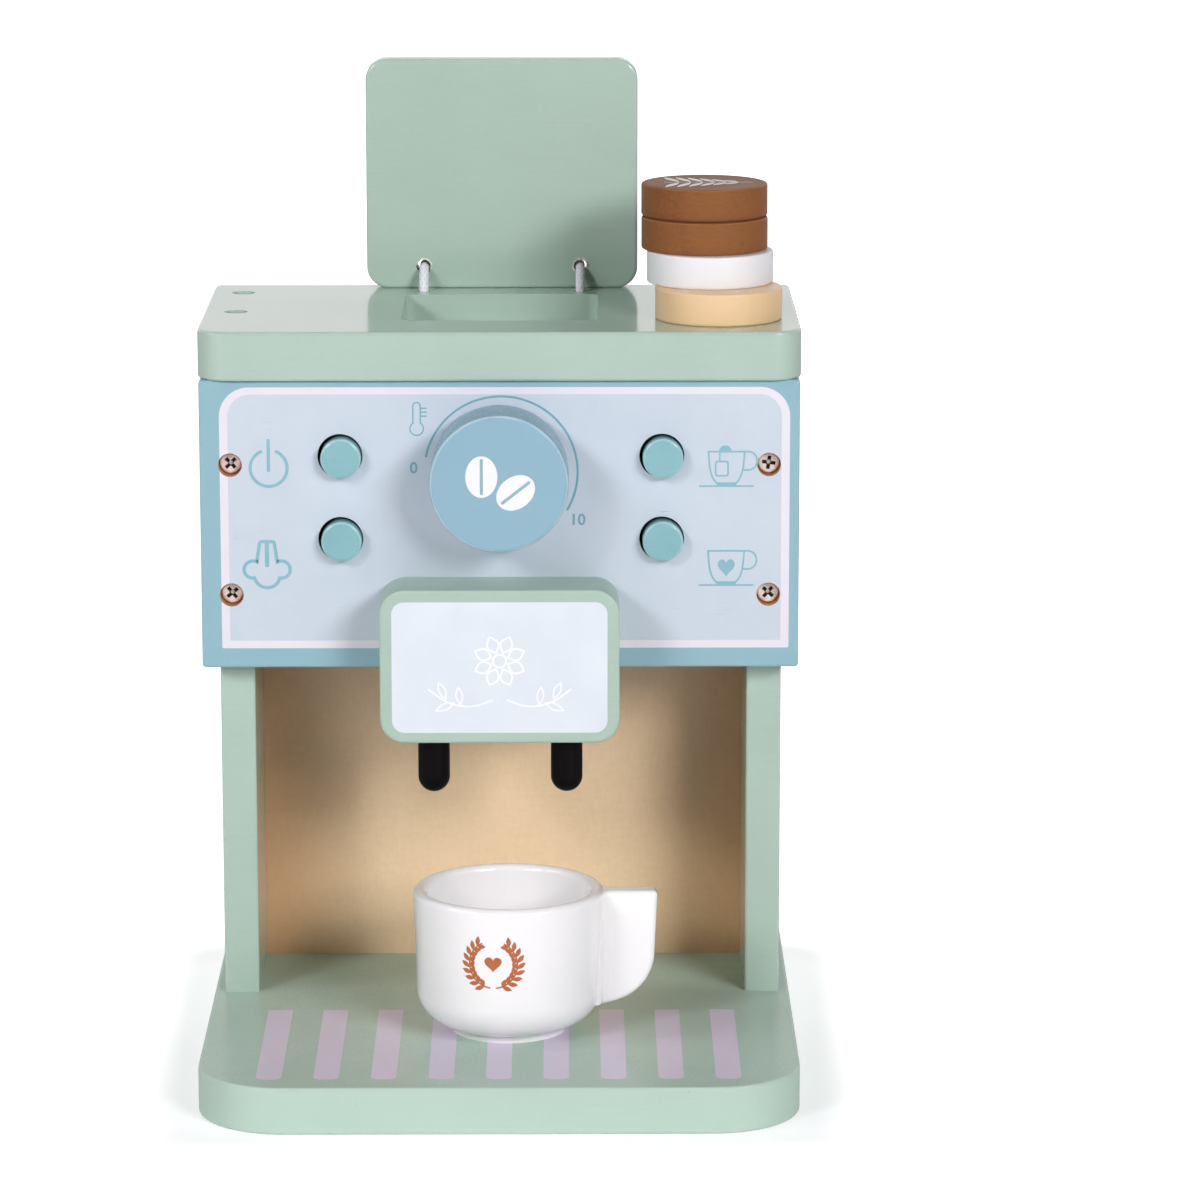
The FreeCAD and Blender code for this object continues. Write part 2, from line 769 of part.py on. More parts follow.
os.makedirs("parts", exist_ok=True)
for name, shape in parts.items():
    box_size = shape.BoundBox
    solids = len(shape.Solids)
    print(name, "valid", shape.isValid(), "solids", solids, "volume", round(shape.Volume, 1),
          "low", round(box_size.XMin, 2), round(box_size.YMin, 2), round(box_size.ZMin, 2),
          "high", round(box_size.XMax, 2), round(box_size.YMax, 2), round(box_size.ZMax, 2))
    shape.exportStep("parts/" + name + ".step")
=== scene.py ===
import math

import bmesh
import bpy
import numpy as np
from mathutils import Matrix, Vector


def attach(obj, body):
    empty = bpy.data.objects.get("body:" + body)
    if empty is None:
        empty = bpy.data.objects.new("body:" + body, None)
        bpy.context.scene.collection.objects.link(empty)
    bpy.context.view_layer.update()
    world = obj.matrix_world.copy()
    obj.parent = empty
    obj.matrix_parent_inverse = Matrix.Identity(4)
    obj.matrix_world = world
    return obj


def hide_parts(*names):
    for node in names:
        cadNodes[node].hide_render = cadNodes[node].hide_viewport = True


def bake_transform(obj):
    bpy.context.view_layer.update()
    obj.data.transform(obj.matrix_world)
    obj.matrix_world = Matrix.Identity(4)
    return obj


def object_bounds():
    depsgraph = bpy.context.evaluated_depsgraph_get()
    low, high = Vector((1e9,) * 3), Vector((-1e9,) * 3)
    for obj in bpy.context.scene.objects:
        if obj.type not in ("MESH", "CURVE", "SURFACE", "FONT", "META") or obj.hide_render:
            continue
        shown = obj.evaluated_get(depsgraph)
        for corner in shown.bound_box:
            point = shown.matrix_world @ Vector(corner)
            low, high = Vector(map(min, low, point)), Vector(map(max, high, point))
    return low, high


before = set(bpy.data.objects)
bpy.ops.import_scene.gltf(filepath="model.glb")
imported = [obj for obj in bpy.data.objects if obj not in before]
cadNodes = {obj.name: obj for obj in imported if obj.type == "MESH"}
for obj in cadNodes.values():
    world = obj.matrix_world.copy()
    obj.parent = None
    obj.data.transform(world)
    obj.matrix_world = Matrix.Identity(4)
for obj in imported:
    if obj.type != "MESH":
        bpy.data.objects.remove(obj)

# A toy coffee maker of painted wood, in metres. The CAD solids are its shapes. This file gives them
# their finishes and adds the prints, the braided cord, the springs, the light and the camera.
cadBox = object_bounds()
mm = 0.001
print("frame loaded with", len(cadNodes), "nodes")


def colour(red, green, blue):
    # a screen colour of 0 to 255 as linear light
    share = np.array((red, green, blue)) / 255
    linear = np.where(share <= 0.04045, share / 12.92, ((share + 0.055) / 1.055) ** 2.4)
    return (*linear.tolist(), 1.0)


def addObject(name, data):
    made = bpy.data.objects.new(name, data)
    bpy.context.scene.collection.objects.link(made)
    return made


# Camera

cameraLook = {"place": (0.01845, -1.48488, 0.44648), "heading": (0.00702, 0.97857, -0.20579), "lens": 156,
              "clip": (0.05, 30)}


def addCamera():
    data = bpy.data.cameras.new("photoCamera")
    data.sensor_width = 36
    data.lens = cameraLook["lens"]
    data.clip_start, data.clip_end = cameraLook["clip"]
    camera = addObject("photoCamera", data)
    camera.location = cameraLook["place"]
    camera.rotation_euler = Vector(cameraLook["heading"]).to_track_quat("-Z", "Y").to_euler()
    bpy.context.scene.camera = camera


addCamera()
print("camera placed")


# Node helpers

def join(value, socket):
    socket.id_data.links.new(value, socket)


def put(kind, inputs, tree=None, **settings):
    # one node, in the tree that its joined sockets are in: first its settings, then its inputs
    tree = tree or next(value.id_data for value in inputs.values() if isinstance(value, bpy.types.NodeSocket))
    made = tree.nodes.new("ShaderNode" + kind)
    for name, value in settings.items():
        setattr(made, name, value)
    for name, value in inputs.items():
        if isinstance(value, bpy.types.NodeSocket):
            join(value, made.inputs[name])
        else:
            made.inputs[name].default_value = value
    return made


def coordinates(tree, kind):
    return put("TexCoord", {}, tree).outputs[kind]


def maths(operation, *values, clamp=False):
    return put("Math", dict(enumerate(values)), operation=operation, use_clamp=clamp).outputs[0]


def times(product, *factors, clamp=False):
    # all the factors multiplied
    for factor in factors:
        product = maths("MULTIPLY", product, factor, clamp=clamp)
    return product


def reckoner(operation):
    return lambda *values, clamp=False: maths(operation, *values, clamp=clamp)


scaled = reckoner("MULTIPLY_ADD")  # a value times a factor, plus something extra
plus, minus, unsigned = reckoner("ADD"), reckoner("SUBTRACT"), reckoner("ABSOLUTE")
larger, smaller = reckoner("MAXIMUM"), reckoner("MINIMUM")
above, below = reckoner("GREATER_THAN"), reckoner("LESS_THAN")  # one where the first is so, against the second


def lengthOf(across, up):
    # the root of the two squares added
    return maths("SQRT", plus(times(across, across), times(up, up)))


def mixColour(amount, first, second, mode="MIX"):
    return put("Mix", {0: amount, 6: first, 7: second}, data_type="RGBA", blend_type=mode).outputs[2]


def step(value, low, high, least=0.0, most=1.0):
    # a soft step from least at low to most at high
    given = {"Value": value, "From Min": low, "From Max": high, "To Min": least, "To Max": most}
    return put("MapRange", given, interpolation_type="SMOOTHSTEP").outputs[0]


def noise(place, scale, detail=2.0, rough=0.5):
    given = {"Vector": place, "Scale": scale, "Detail": detail, "Roughness": rough}
    return put("TexNoise", given).outputs[0]


def stretched(place, scale, turn=(0, 0, 0)):
    # the place with each axis multiplied by its scale, then turned
    return put("Mapping", {"Vector": place, "Rotation": turn, "Scale": scale}).outputs[0]


def apart(vector):
    return put("SeparateXYZ", {0: vector}).outputs


def effect(group, **values):
    # places a shared effect; an underscore in a label stands for a space
    given = {label.replace("_", " "): value for label, value in values.items()}
    return put("Group", given, node_tree=group).outputs


def newGroup(name, takes, gives):
    # an input's value tells its kind: one number, four for a colour, three for a vector or none for a place
    tree = bpy.data.node_groups.new(name, "ShaderNodeTree")
    for label, value in takes.items():
        kind = "Float" if isinstance(value, float) else "Color" if value and len(value) == 4 else "Vector"
        socket = tree.interface.new_socket(label, in_out="INPUT", socket_type="NodeSocket" + kind)
        if value is not None:
            socket.default_value = value
    for label in gives:
        kind = "Color" if label == "Colour" else "Float"
        tree.interface.new_socket(label, in_out="OUTPUT", socket_type="NodeSocket" + kind)
    return tree, tree.nodes.new("NodeGroupInput").outputs, tree.nodes.new("NodeGroupOutput").inputs


# Shared effects: a scale counts the marks of a noise to the metre

sprayScales = {"drift": 26.0, "fine": 3600.0, "nibs": 150.0, "streaks": (45, 1300, 1300)}


def makeSprayedPaint():
    # slow colour drift, the fine skin of sprayed paint, the board's level grain showing through, and dust nibs
    tree, given, out = newGroup("sprayedPaint", {
        "Place": None, "Paint": (0.5, 0.5, 0.5, 1), "Deep Paint": (0.4, 0.4, 0.4, 1), "Drift": 0.5, "Skin Scale": 800.0,
        "Gloss": 0.25, "Nibs": 0.1, "Grain": 0.3,
    }, ["Colour", "Roughness", "Height"])
    slow = noise(given["Place"], sprayScales["drift"], 3.0)
    skin = noise(given["Place"], given["Skin Scale"], 2.0, 0.6)
    fine = noise(given["Place"], sprayScales["fine"], 1.0)
    cells = put("TexVoronoi", {"Vector": given["Place"], "Scale": sprayScales["nibs"]})
    chosen = above(given["Nibs"], apart(cells.outputs["Color"])[0])
    nib = times(step(cells.outputs["Distance"], 0.02, 0.06, 1.0, 0.0), chosen)
    drift = times(step(slow, 0.35, 0.7), given["Drift"])
    drift = plus(drift, times(minus(skin, 0.5), 0.5))
    streak = noise(stretched(given["Place"], sprayScales["streaks"]), 1.0, 3.0, 0.6)
    streak = times(minus(streak, 0.5), given["Grain"])
    drift = scaled(streak, 1.6, drift, clamp=True)
    painted = mixColour(drift, given["Paint"], given["Deep Paint"])
    painted = mixColour(times(nib, 0.35), painted, given["Deep Paint"], "MULTIPLY")
    join(painted, out["Colour"])
    rough = scaled(slow, 0.12, given["Gloss"])
    rough = scaled(minus(fine, 0.5), 0.10, rough)
    join(scaled(nib, 0.2, rough, clamp=True), out["Roughness"])
    height = scaled(streak, 0.8, scaled(fine, 0.25, skin))
    join(scaled(nib, 1.5, height), out["Height"])
    return tree


edgeWear = {"breaks": 120.0, "from": 0.35, "full": 0.95}


def makeRubbedEdgeAndHighlight():
    # marks the small roundings, lighter for rubbing and as a painted highlight: the normal's share along the axis is
    # there neither 0 nor 1
    tree, given, out = newGroup("rubbedEdgeAndHighlight", {"Normal": None, "Axis": (0, 0, 1), "Place": None, "Wear": 0.5}, ["Mask"])
    lean = put("VectorMath", {0: given["Normal"], 1: given["Axis"]}, operation="DOT_PRODUCT").outputs["Value"]
    square = times(lean, lean)
    edge = times(square, minus(1.0, square), 4.0)
    broken = noise(given["Place"], edgeWear["breaks"], 4.0, 0.65)
    wornAndHighlight = step(times(edge, plus(broken, 0.35)), edgeWear["from"], edgeWear["full"])
    join(times(wornAndHighlight, given["Wear"], clamp=True), out["Mask"])
    return tree


def makeRoundedPanel():
    # one inside a rectangle with rounded corners, whose upper and lower corners may differ: how far a place
    # is past the sides, drawn in by the corner's radius, is measured round the corner and less that radius
    tree, given, out = newGroup("roundedPanel", {
        "Across": 0.0, "Up": 0.0, "Half Width": 0.03, "Half Height": 0.02, "Upper Corner": 0.003, "Lower Corner": 0.003,
        "Soft": 0.00005,
    }, ["Mask"])
    upper = above(given["Up"], 0.0)
    corner = scaled(upper, minus(given["Upper Corner"], given["Lower Corner"]), given["Lower Corner"])
    sides = []
    for place, half in (("Across", "Half Width"), ("Up", "Half Height")):
        past = minus(unsigned(given[place]), given[half])
        sides.append(plus(past, corner))
    outer = [larger(side, 0.0) for side in sides]
    inner = smaller(larger(*sides), 0.0)
    away = minus(plus(lengthOf(*outer), inner), corner)
    soft = given["Soft"]
    fade = {"Value": away, "From Min": times(soft, -1.0), "From Max": soft, "To Min": 1.0, "To Max": 0.0}
    join(put("MapRange", fade).outputs[0], out["Mask"])
    return tree


scratchMarks = {"lines": (60, 300, 2600), "thin": 0.012, "patches": 55.0, "from": 0.6, "full": 0.72}


def makeHairScratches():
    # thin broken lines: noise drawn out along one direction, kept only near its crest and in patches
    tree, given, out = newGroup("hairScratches", {"Place": None, "Turn": (0, 0.3, 0), "Share": 0.5}, ["Mask"])
    line = noise(stretched(given["Place"], scratchMarks["lines"], given["Turn"]), 1.0, 1.0)
    crest = step(unsigned(minus(line, 0.5)), 0.0, scratchMarks["thin"], 1.0, 0.0)
    patch = step(noise(given["Place"], scratchMarks["patches"], 2.0), scratchMarks["from"], scratchMarks["full"])
    join(times(crest, patch, given["Share"]), out["Mask"])
    return tree


fibreFlecks = {"upright": ((1, 1, 0.35), (0, 0.5, 0)), "level": ((0.35, 1, 1), (0, 0.2, 0)), "clouds": 35.0}


def makePressedFibre():
    # pressed wood fibre: short tangled flecks of a light and a dark tone
    tree, given, out = newGroup("pressedFibre", {
        "Place": None, "Light": (0.5, 0.3, 0.1, 1), "Dark": (0.3, 0.15, 0.05, 1), "Scale": 900.0,
    }, ["Colour", "Height"])
    first, second = (noise(stretched(given["Place"], *fibreFlecks[way]), given["Scale"], 4.0, 0.7)
                     for way in ("upright", "level"))
    fleck = times(plus(first, second), 0.5)
    slow = noise(given["Place"], fibreFlecks["clouds"], 2.0)
    share = scaled(minus(slow, 0.5), 0.5, step(fleck, 0.35, 0.65), clamp=True)
    join(mixColour(share, given["Light"], given["Dark"]), out["Colour"])
    join(fleck, out["Height"])
    return tree


grainLines = {"rings": (0.12, 1, 1), "pores": (150, 2400, 2400), "turn": (0, 0, 0.25)}


def makeWoodGrain():
    # growth rings as bands that wander, with fine pores drawn out along the grain
    tree, given, out = newGroup("woodGrain", {
        "Place": None, "Light": (0.8, 0.5, 0.3, 1), "Dark": (0.5, 0.3, 0.1, 1), "Ring Scale": 260.0, "Contrast": 0.5,
    }, ["Colour", "Height"])
    along = stretched(given["Place"], grainLines["rings"], grainLines["turn"])
    bands = {"Vector": along, "Scale": given["Ring Scale"], "Distortion": 5.0, "Detail": 3.0, "Detail Scale": 0.6}
    rings = put("TexWave", bands, wave_type="BANDS", bands_direction="Y").outputs[1]
    pores = noise(stretched(given["Place"], grainLines["pores"], grainLines["turn"]), 1.0, 2.0)
    mark = scaled(step(pores, 0.55, 0.75), 0.35, times(rings, 0.65))
    tone = times(mark, given["Contrast"], clamp=True)
    join(mixColour(tone, given["Light"], given["Dark"]), out["Colour"])
    join(mark, out["Height"])
    return tree


inkScales = {"grit": 5200.0, "clouds": 300.0}


def makePrintedInk():
    # screen ink with pinholes and a slight loss of cover
    tree, given, out = newGroup("printedInk", {
        "Place": None, "Ink": (0.3, 0.5, 0.6, 1), "Ground": (0.8, 0.8, 0.8, 1), "Loss": 0.3,
    }, ["Colour", "Height"])
    grit = noise(given["Place"], inkScales["grit"], 2.0, 0.7)
    slow = noise(given["Place"], inkScales["clouds"], 2.0)
    bare = times(step(scaled(slow, 0.3, grit), 0.62, 0.86), given["Loss"])
    join(mixColour(bare, given["Ink"], given["Ground"]), out["Colour"])
    join(grit, out["Height"])
    return tree


sprayedPaint = makeSprayedPaint()
rubbedEdgeAndHighlight = makeRubbedEdgeAndHighlight()
roundedPanel = makeRoundedPanel()
hairScratches = makeHairScratches()
pressedFibre = makePressedFibre()
woodGrain = makeWoodGrain()
printedInk = makePrintedInk()
print("shared effects made")


# Materials

def newMaterial(name, **constants):
    material = bpy.data.materials.new(name)
    material.use_nodes = True
    tree = material.node_tree
    shader = tree.nodes["Principled BSDF"]
    for label, value in constants.items():
        shader.inputs[label.replace("_", " ")].default_value = value
    return material, shader, coordinates(tree, "Object")


def finishSurface(shader, paint, rough, height, relief):
    join(paint, shader.inputs["Base Color"])
    if rough is not None:
        join(rough, shader.inputs["Roughness"])
    bump = put("Bump", {"Strength": 1.0, "Distance": relief, "Height": height})
    join(bump.outputs[0], shader.inputs["Normal"])


def panelMask(across, up, middle, size, upperCorner, lowerCorner):
    # a printed rectangle; middle and size are pairs in millimetres
    return effect(roundedPanel, Across=minus(across, middle[0] * mm), Up=minus(up, middle[1] * mm),
                  Half_Width=size[0] * mm / 2, Half_Height=size[1] * mm / 2, Upper_Corner=upperCorner * mm,
                  Lower_Corner=lowerCorner * mm)[0]


def inked(place, ink, ground, loss):
    return effect(printedInk, Place=place, Ink=ink, Ground=ground, Loss=loss)


def inkTone(place, look):
    # the fill's two tones, drifting slowly over the print
    slow = step(noise(place, look["drift"], 3.0), 0.3, 0.75)
    return mixColour(slow, look["fill"], look["fillDeep"])


def axisReach(place, middle, spacing):
    # how far a place lies from the nearest of four axes along Y, set evenly about the middle
    spot = apart(place)
    parts = []
    for along, centre, gap in zip((spot[0], spot[2]), middle, spacing):
        aside = unsigned(minus(along, centre * mm))
        parts.append(minus(aside, gap * mm / 2))
    return lengthOf(*parts)


def boreMask(place, middle, spacing, radius):
    # the walls of four equal bores, seen by their sideways normals
    near = below(axisReach(place, middle, spacing), radius * mm)
    normal = coordinates(place.id_data, "Normal")
    return times(near, below(unsigned(apart(normal)[1]), 0.7))


# drift, nibs, wearAndHighlight and grain are shares; skin is a noise scale; relief is in metres
usualPaint = {"drift": 0.4, "skin": 900.0, "gloss": 0.2, "nibs": 0.08, "wearAndHighlight": 0.4, "relief": 0.00003, "coat": 0.0,
              "shine": 0.4, "grain": 0.2}
mintLook = {**usualPaint, "paint": colour(178, 199, 187), "deep": colour(169, 191, 178), "wornAndHighlight": colour(203, 220, 211),
            "drift": 0.5, "skin": 700.0, "gloss": 0.13, "nibs": 0.10, "wearAndHighlight": 0.45, "relief": 0.00002, "coat": 0.42,
            "shine": 0.45, "grain": 0.5}
lidLook = {**mintLook, "paint": colour(174, 196, 183), "deep": colour(166, 189, 175)}
# the base's paint is the mint made lighter to brighten the base: painted light
paintedLightBaseLook = {**mintLook, "paint": colour(188, 210, 198), "deep": colour(180, 203, 190), "gloss": 0.22, "coat": 0.16,
            "shine": 0.06}
blockLook = {**mintLook, "gloss": 0.26, "coat": 0.05, "shine": 0.03}
blueLook = {**usualPaint, "paint": colour(146, 184, 197), "deep": colour(138, 176, 190), "wornAndHighlight": colour(174, 205, 215),
            "skin": 800.0, "gloss": 0.26, "coat": 0.2, "shine": 0.5, "grain": 0.1}
# the knob's lighter rim colour is mostly a painted highlight
knobLook = {**usualPaint, "paint": colour(147, 181, 199), "deep": colour(140, 175, 193), "wornAndHighlight": colour(196, 218, 230),
            "wearAndHighlight": 0.8, "coat": 0.12, "shine": 0.05}
aquaLook = {**usualPaint, "paint": colour(141, 187, 195), "deep": colour(124, 175, 184), "wornAndHighlight": colour(184, 216, 221),
            "drift": 0.7, "skin": 1500.0, "gloss": 0.3, "nibs": 0.3, "wearAndHighlight": 0.8, "relief": 0.00006, "coat": 0.5,
            "grain": 0.3, "score": colour(112, 160, 170)}
blackLook = {**usualPaint, "paint": colour(10, 7, 9), "deep": colour(6, 4, 6), "wornAndHighlight": colour(34, 30, 31),
             "drift": 0.5, "gloss": 0.4, "nibs": 0.1, "wearAndHighlight": 0.3, "relief": 0.00004, "shine": 0.1}
brownLook = {**usualPaint, "paint": colour(143, 93, 57), "deep": colour(120, 75, 44), "wornAndHighlight": colour(178, 128, 92),
             "drift": 0.8, "skin": 1100.0, "gloss": 0.36, "nibs": 0.12, "wearAndHighlight": 0.5, "relief": 0.00005, "shine": 0.06,
             "grain": 0.9}
whiteLook = {**usualPaint, "paint": colour(238, 237, 241), "deep": colour(231, 230, 236), "wornAndHighlight": colour(249, 249, 251),
             "drift": 0.5, "gloss": 0.3, "nibs": 0.05, "wearAndHighlight": 0.2, "coat": 0.1}
cupLook = {**usualPaint, "paint": colour(254, 251, 252), "deep": colour(250, 246, 249), "wornAndHighlight": colour(252, 250, 251),
           "skin": 350.0, "gloss": 0.06, "nibs": 0.02, "wearAndHighlight": 0.0, "relief": 0.00002, "coat": 0.3, "shine": 0.5,
           "grain": 0.0}


def painted(name, look, axis, overprint=None):
    # sprayed paint whose roundings are lighter, for rubbing and as a painted highlight; overprint may lay more colours
    # on it and bare it of gloss
    material, shader, place = newMaterial(
        name, Coat_Weight=look["coat"], Coat_Roughness=0.06, Specular_IOR_Level=look["shine"])
    skin = effect(sprayedPaint, Place=place, Paint=look["paint"], Deep_Paint=look["deep"], Drift=look["drift"],
                  Skin_Scale=look["skin"], Gloss=look["gloss"], Nibs=look["nibs"], Grain=look["grain"])
    rubAndHighlight = effect(rubbedEdgeAndHighlight, Normal=coordinates(shader.id_data, "Normal"), Axis=axis, Place=place, Wear=look["wearAndHighlight"])[0]
    paint, rough = mixColour(rubAndHighlight, skin["Colour"], look["wornAndHighlight"]), skin["Roughness"]
    if overprint:
        paint, rough, bare = overprint(place, paint, rough)
        if bare is not None:
            gloss = times(minus(1.0, bare), look["coat"])
            join(gloss, shader.inputs["Coat Weight"])
    finishSurface(shader, paint, rough, skin["Height"], look["relief"])
    return material


printDepth = 0.03  # millimetres behind a face where its print ends

# sizes in millimetres; drift is the scale of the fill's two tones; losses and scratches are shares
boardPrint = {"fill": colour(203, 213, 225), "fillDeep": colour(198, 208, 221), "band": colour(233, 226, 236),
              "outerMiddle": (1.5, 159.05), "outerSize": (165.2, 77.1), "innerMiddle": (1.5, 159.15),
              "innerSize": (160.4, 72.7), "outerCorners": (8.7, 0.5), "innerCorners": (6.5, 0.3), "face": -2.5,
              "drift": 30.0, "bandLoss": 0.12, "fillLoss": 0.15, "scratches": 0.8}
# each four bores: their middle, their spacing across and up, and how far their walls reach
boreLook = {"fibre": colour(218, 164, 114), "fibreDark": colour(172, 114, 70), "fibreScale": 1800.0,
            "paintedBoreShade": colour(2, 2, 2), "screws": ((0.0, 155.6), (156.2, 38.4), 3.7),
            "buttons": ((0.4, 165.2), (93.2, 24.4), 7.0)}


def boardOverprint(place, paint, rough):
    # a pale band round a bluish field, both rounded at the top, with scratches; the screw bores' walls are bare fibre,
    # the button bores' walls black as painted shade
    x, y, z = apart(place)
    front = below(y, (boardPrint["face"] + printDepth) * mm)
    outer = panelMask(x, z, boardPrint["outerMiddle"], boardPrint["outerSize"], *boardPrint["outerCorners"])
    inner = panelMask(x, z, boardPrint["innerMiddle"], boardPrint["innerSize"], *boardPrint["innerCorners"])
    band = inked(place, boardPrint["band"], paint, boardPrint["bandLoss"])
    fill = inked(place, inkTone(place, boardPrint), boardPrint["band"], boardPrint["fillLoss"])
    scratch = effect(hairScratches, Place=place, Share=boardPrint["scratches"])[0]
    outer = times(outer, front)
    paint = mixColour(outer, paint, band["Colour"])
    paint = mixColour(times(inner, front), paint, fill["Colour"])
    paint = mixColour(times(scratch, front), paint, blueLook["deep"])
    rough = scaled(outer, 0.1, rough)
    fibre = effect(pressedFibre, Place=place, Light=boreLook["fibre"], Dark=boreLook["fibreDark"],
                   Scale=boreLook["fibreScale"])
    screwBore = boreMask(place, *boreLook["screws"])
    buttonBore = boreMask(place, *boreLook["buttons"])
    paint = mixColour(screwBore, paint, fibre["Colour"])
    # the button bores' walls are painted black: painted shade in the gaps round the buttons
    paint = mixColour(buttonBore, paint, boreLook["paintedBoreShade"])
    bores = plus(screwBore, buttonBore)
    return paint, larger(rough, times(bores, 0.9)), bores


facePrint = {"fill": colour(228, 233, 241), "fillDeep": colour(222, 228, 237), "middle": (0.0, 119.05),
             "size": (62.2, 38.5), "corners": (3.6, 3.6), "face": -22.5, "drift": 60.0, "loss": 0.06}


def blockOverprint(place, paint, rough):
    # a pale rectangle with rounded corners on the front
    x, y, z = apart(place)
    front = below(y, (facePrint["face"] + printDepth) * mm)
    shown = times(panelMask(x, z, facePrint["middle"], facePrint["size"], *facePrint["corners"]), front)
    ink = inked(place, inkTone(place, facePrint), paint, facePrint["loss"])
    return mixColour(shown, paint, ink["Colour"]), scaled(shown, 0.08, rough), None


stripePrint = {"lilac": colour(228, 216, 236), "spacing": 16.2, "width": 7.2, "middle": -46.95, "length": 69.1,
               "corners": (0.2, 2.6), "top": 13.7, "outermost": 4.0, "loss": 0.2}


def baseOverprint(place, paint, rough):
    # each place is measured from its nearest stripe's middle line, counted from the board's middle
    x, y, z = apart(place)
    spacing = stripePrint["spacing"] * mm
    nearest = maths("ROUND", maths("DIVIDE", x, spacing))
    nearest = smaller(nearest, stripePrint["outermost"])
    nearest = larger(nearest, -stripePrint["outermost"])
    across = minus(x, times(nearest, spacing))
    stripe = panelMask(across, y, (0.0, stripePrint["middle"]), (stripePrint["width"], stripePrint["length"]),
                       *stripePrint["corners"])
    shown = times(stripe, above(z, (stripePrint["top"] - printDepth) * mm))
    ink = inked(place, stripePrint["lilac"], paint, stripePrint["loss"])
    return mixColour(shown, paint, ink["Colour"]), scaled(shown, 0.03, rough), None


# ragged and reach are in metres from a hole's axis
chipLook = {"holes": ((0.0, 220.65), (47.4, 0.0)), "bare": colour(232, 226, 214), "dark": colour(70, 74, 66),
            "speck": colour(214, 216, 200), "ragged": 0.0022, "reach": (0.00225, 0.0024), "specks": 95.0,
            "speckShare": 0.05}


def lidOverprint(place, paint, rough):
    # paint chipped round the cord's holes, and a few pale specks
    reach = axisReach(place, *chipLook["holes"])
    ragged = scaled(minus(noise(place, 700.0, 3.0, 0.7), 0.5), chipLook["ragged"], reach)
    side = step(noise(place, 260.0, 1.0), 0.47, 0.53)
    chipped = mixColour(side, chipLook["dark"], chipLook["bare"])
    paint = mixColour(step(ragged, *chipLook["reach"], 1.0, 0.0), paint, chipped)
    cells = put("TexVoronoi", {"Vector": place, "Scale": chipLook["specks"]})
    chosen = above(chipLook["speckShare"], apart(cells.outputs["Color"])[1])
    speck = times(step(cells.outputs["Distance"], 0.03, 0.05, 1.0, 0.0), chosen)
    return mixColour(times(speck, 0.8), paint, chipLook["speck"]), rough, None


def buttonOverprint(place, paint, rough):
    # fine scores left by sanding the dowel's end, under thin paint
    score = effect(hairScratches, Place=place, Turn=(0, 1.1, 0), Share=0.9)[0]
    grain = step(noise(stretched(place, (1, 1, 0.5)), 2600.0, 3.0, 0.7), 0.45, 0.75)
    paint = mixColour(times(grain, 0.35), paint, aquaLook["deep"])
    return mixColour(score, paint, aquaLook["score"]), rough, None


# the panel's sides darken towards the walls: painted shade
paintedSideShadeReach = (32 * mm, 72 * mm)  # from the board's middle line to where its sides' tone begins and is full


def fibreBoard(name, light, dark, scale, rough, relief, paintedSideShade=None):
    # paintedSideShade names the tone of the painted shade on the board's left and right thirds
    material, shader, place = newMaterial(name, Roughness=rough)
    fibre = effect(pressedFibre, Place=place, Light=light, Dark=dark, Scale=scale)
    tone = fibre["Colour"]
    if paintedSideShade:
        tone = mixColour(step(unsigned(apart(place)[0]), *paintedSideShadeReach), tone, paintedSideShade, "MULTIPLY")
    finishSurface(shader, tone, None, fibre["Height"], relief)
    return material


def grainedWood(name, light, dark, ringScale, contrast, rough, coat=0.0):
    material, shader, place = newMaterial(name, Coat_Weight=coat, Coat_Roughness=0.12)
    grain = effect(woodGrain, Place=place, Light=light, Dark=dark, Ring_Scale=ringScale, Contrast=contrast)
    fine = scaled(noise(place, 1500.0, 2.0), 0.12, rough)
    finishSurface(shader, grain["Colour"], fine, grain["Height"], 0.000006)
    return material


def plated(name, tone, dull, rough, scratchTurn):
    # plated steel: a slightly cloudy metal with fine scores
    material, shader, place = newMaterial(name, Metallic=1.0)
    cloud = noise(place, 900.0, 3.0)
    score = effect(hairScratches, Place=place, Turn=scratchTurn, Share=1.0)[0]
    metal = mixColour(step(cloud, 0.35, 0.75), tone, dull)
    shine = scaled(cloud, 0.2, rough)
    finishSurface(shader, metal, scaled(score, 0.2, shine), cloud, 0.00001)
    return material


def crossScrew(name, look, middle, spacing):
    # a plated head whose cross recess is painted dark, a painted shade, with a painted highlight at its middle
    material, shader, place = newMaterial(name)
    reach = axisReach(place, middle, spacing)
    cloud = noise(place, 1500.0, 3.0, 0.6)
    metal = mixColour(step(cloud, 0.3, 0.75), look["tone"], look["dull"])
    deep = above(apart(place)[1], look["face"] * mm)
    within = below(reach, look["recess"] * mm)
    paintedGlint = times(step(scaled(cloud, 0.0003, reach), *look["paintedGlintReach"], 1.0, 0.0), deep)
    paintedRecessShade = times(deep, within, minus(1.0, paintedGlint))
    metal = mixColour(paintedGlint, metal, look["paintedGlint"])
    join(scaled(paintedGlint, -look["metal"], look["metal"]), shader.inputs["Metallic"])
    shine = scaled(cloud, 0.25, look["rough"])
    # painted shade in the recess arms
    metal = mixColour(paintedRecessShade, metal, look["paintedRecessShade"])
    finishSurface(shader, metal, scaled(paintedRecessShade, 0.4, shine), cloud, 0.00003)
    return material


def inkOf(name, ink, ground, loss, rough):
    material, shader, place = newMaterial(name, Roughness=rough)
    laid = inked(place, ink, ground, loss)
    finishSurface(shader, laid["Colour"], None, laid["Height"], 0.00001)
    return material


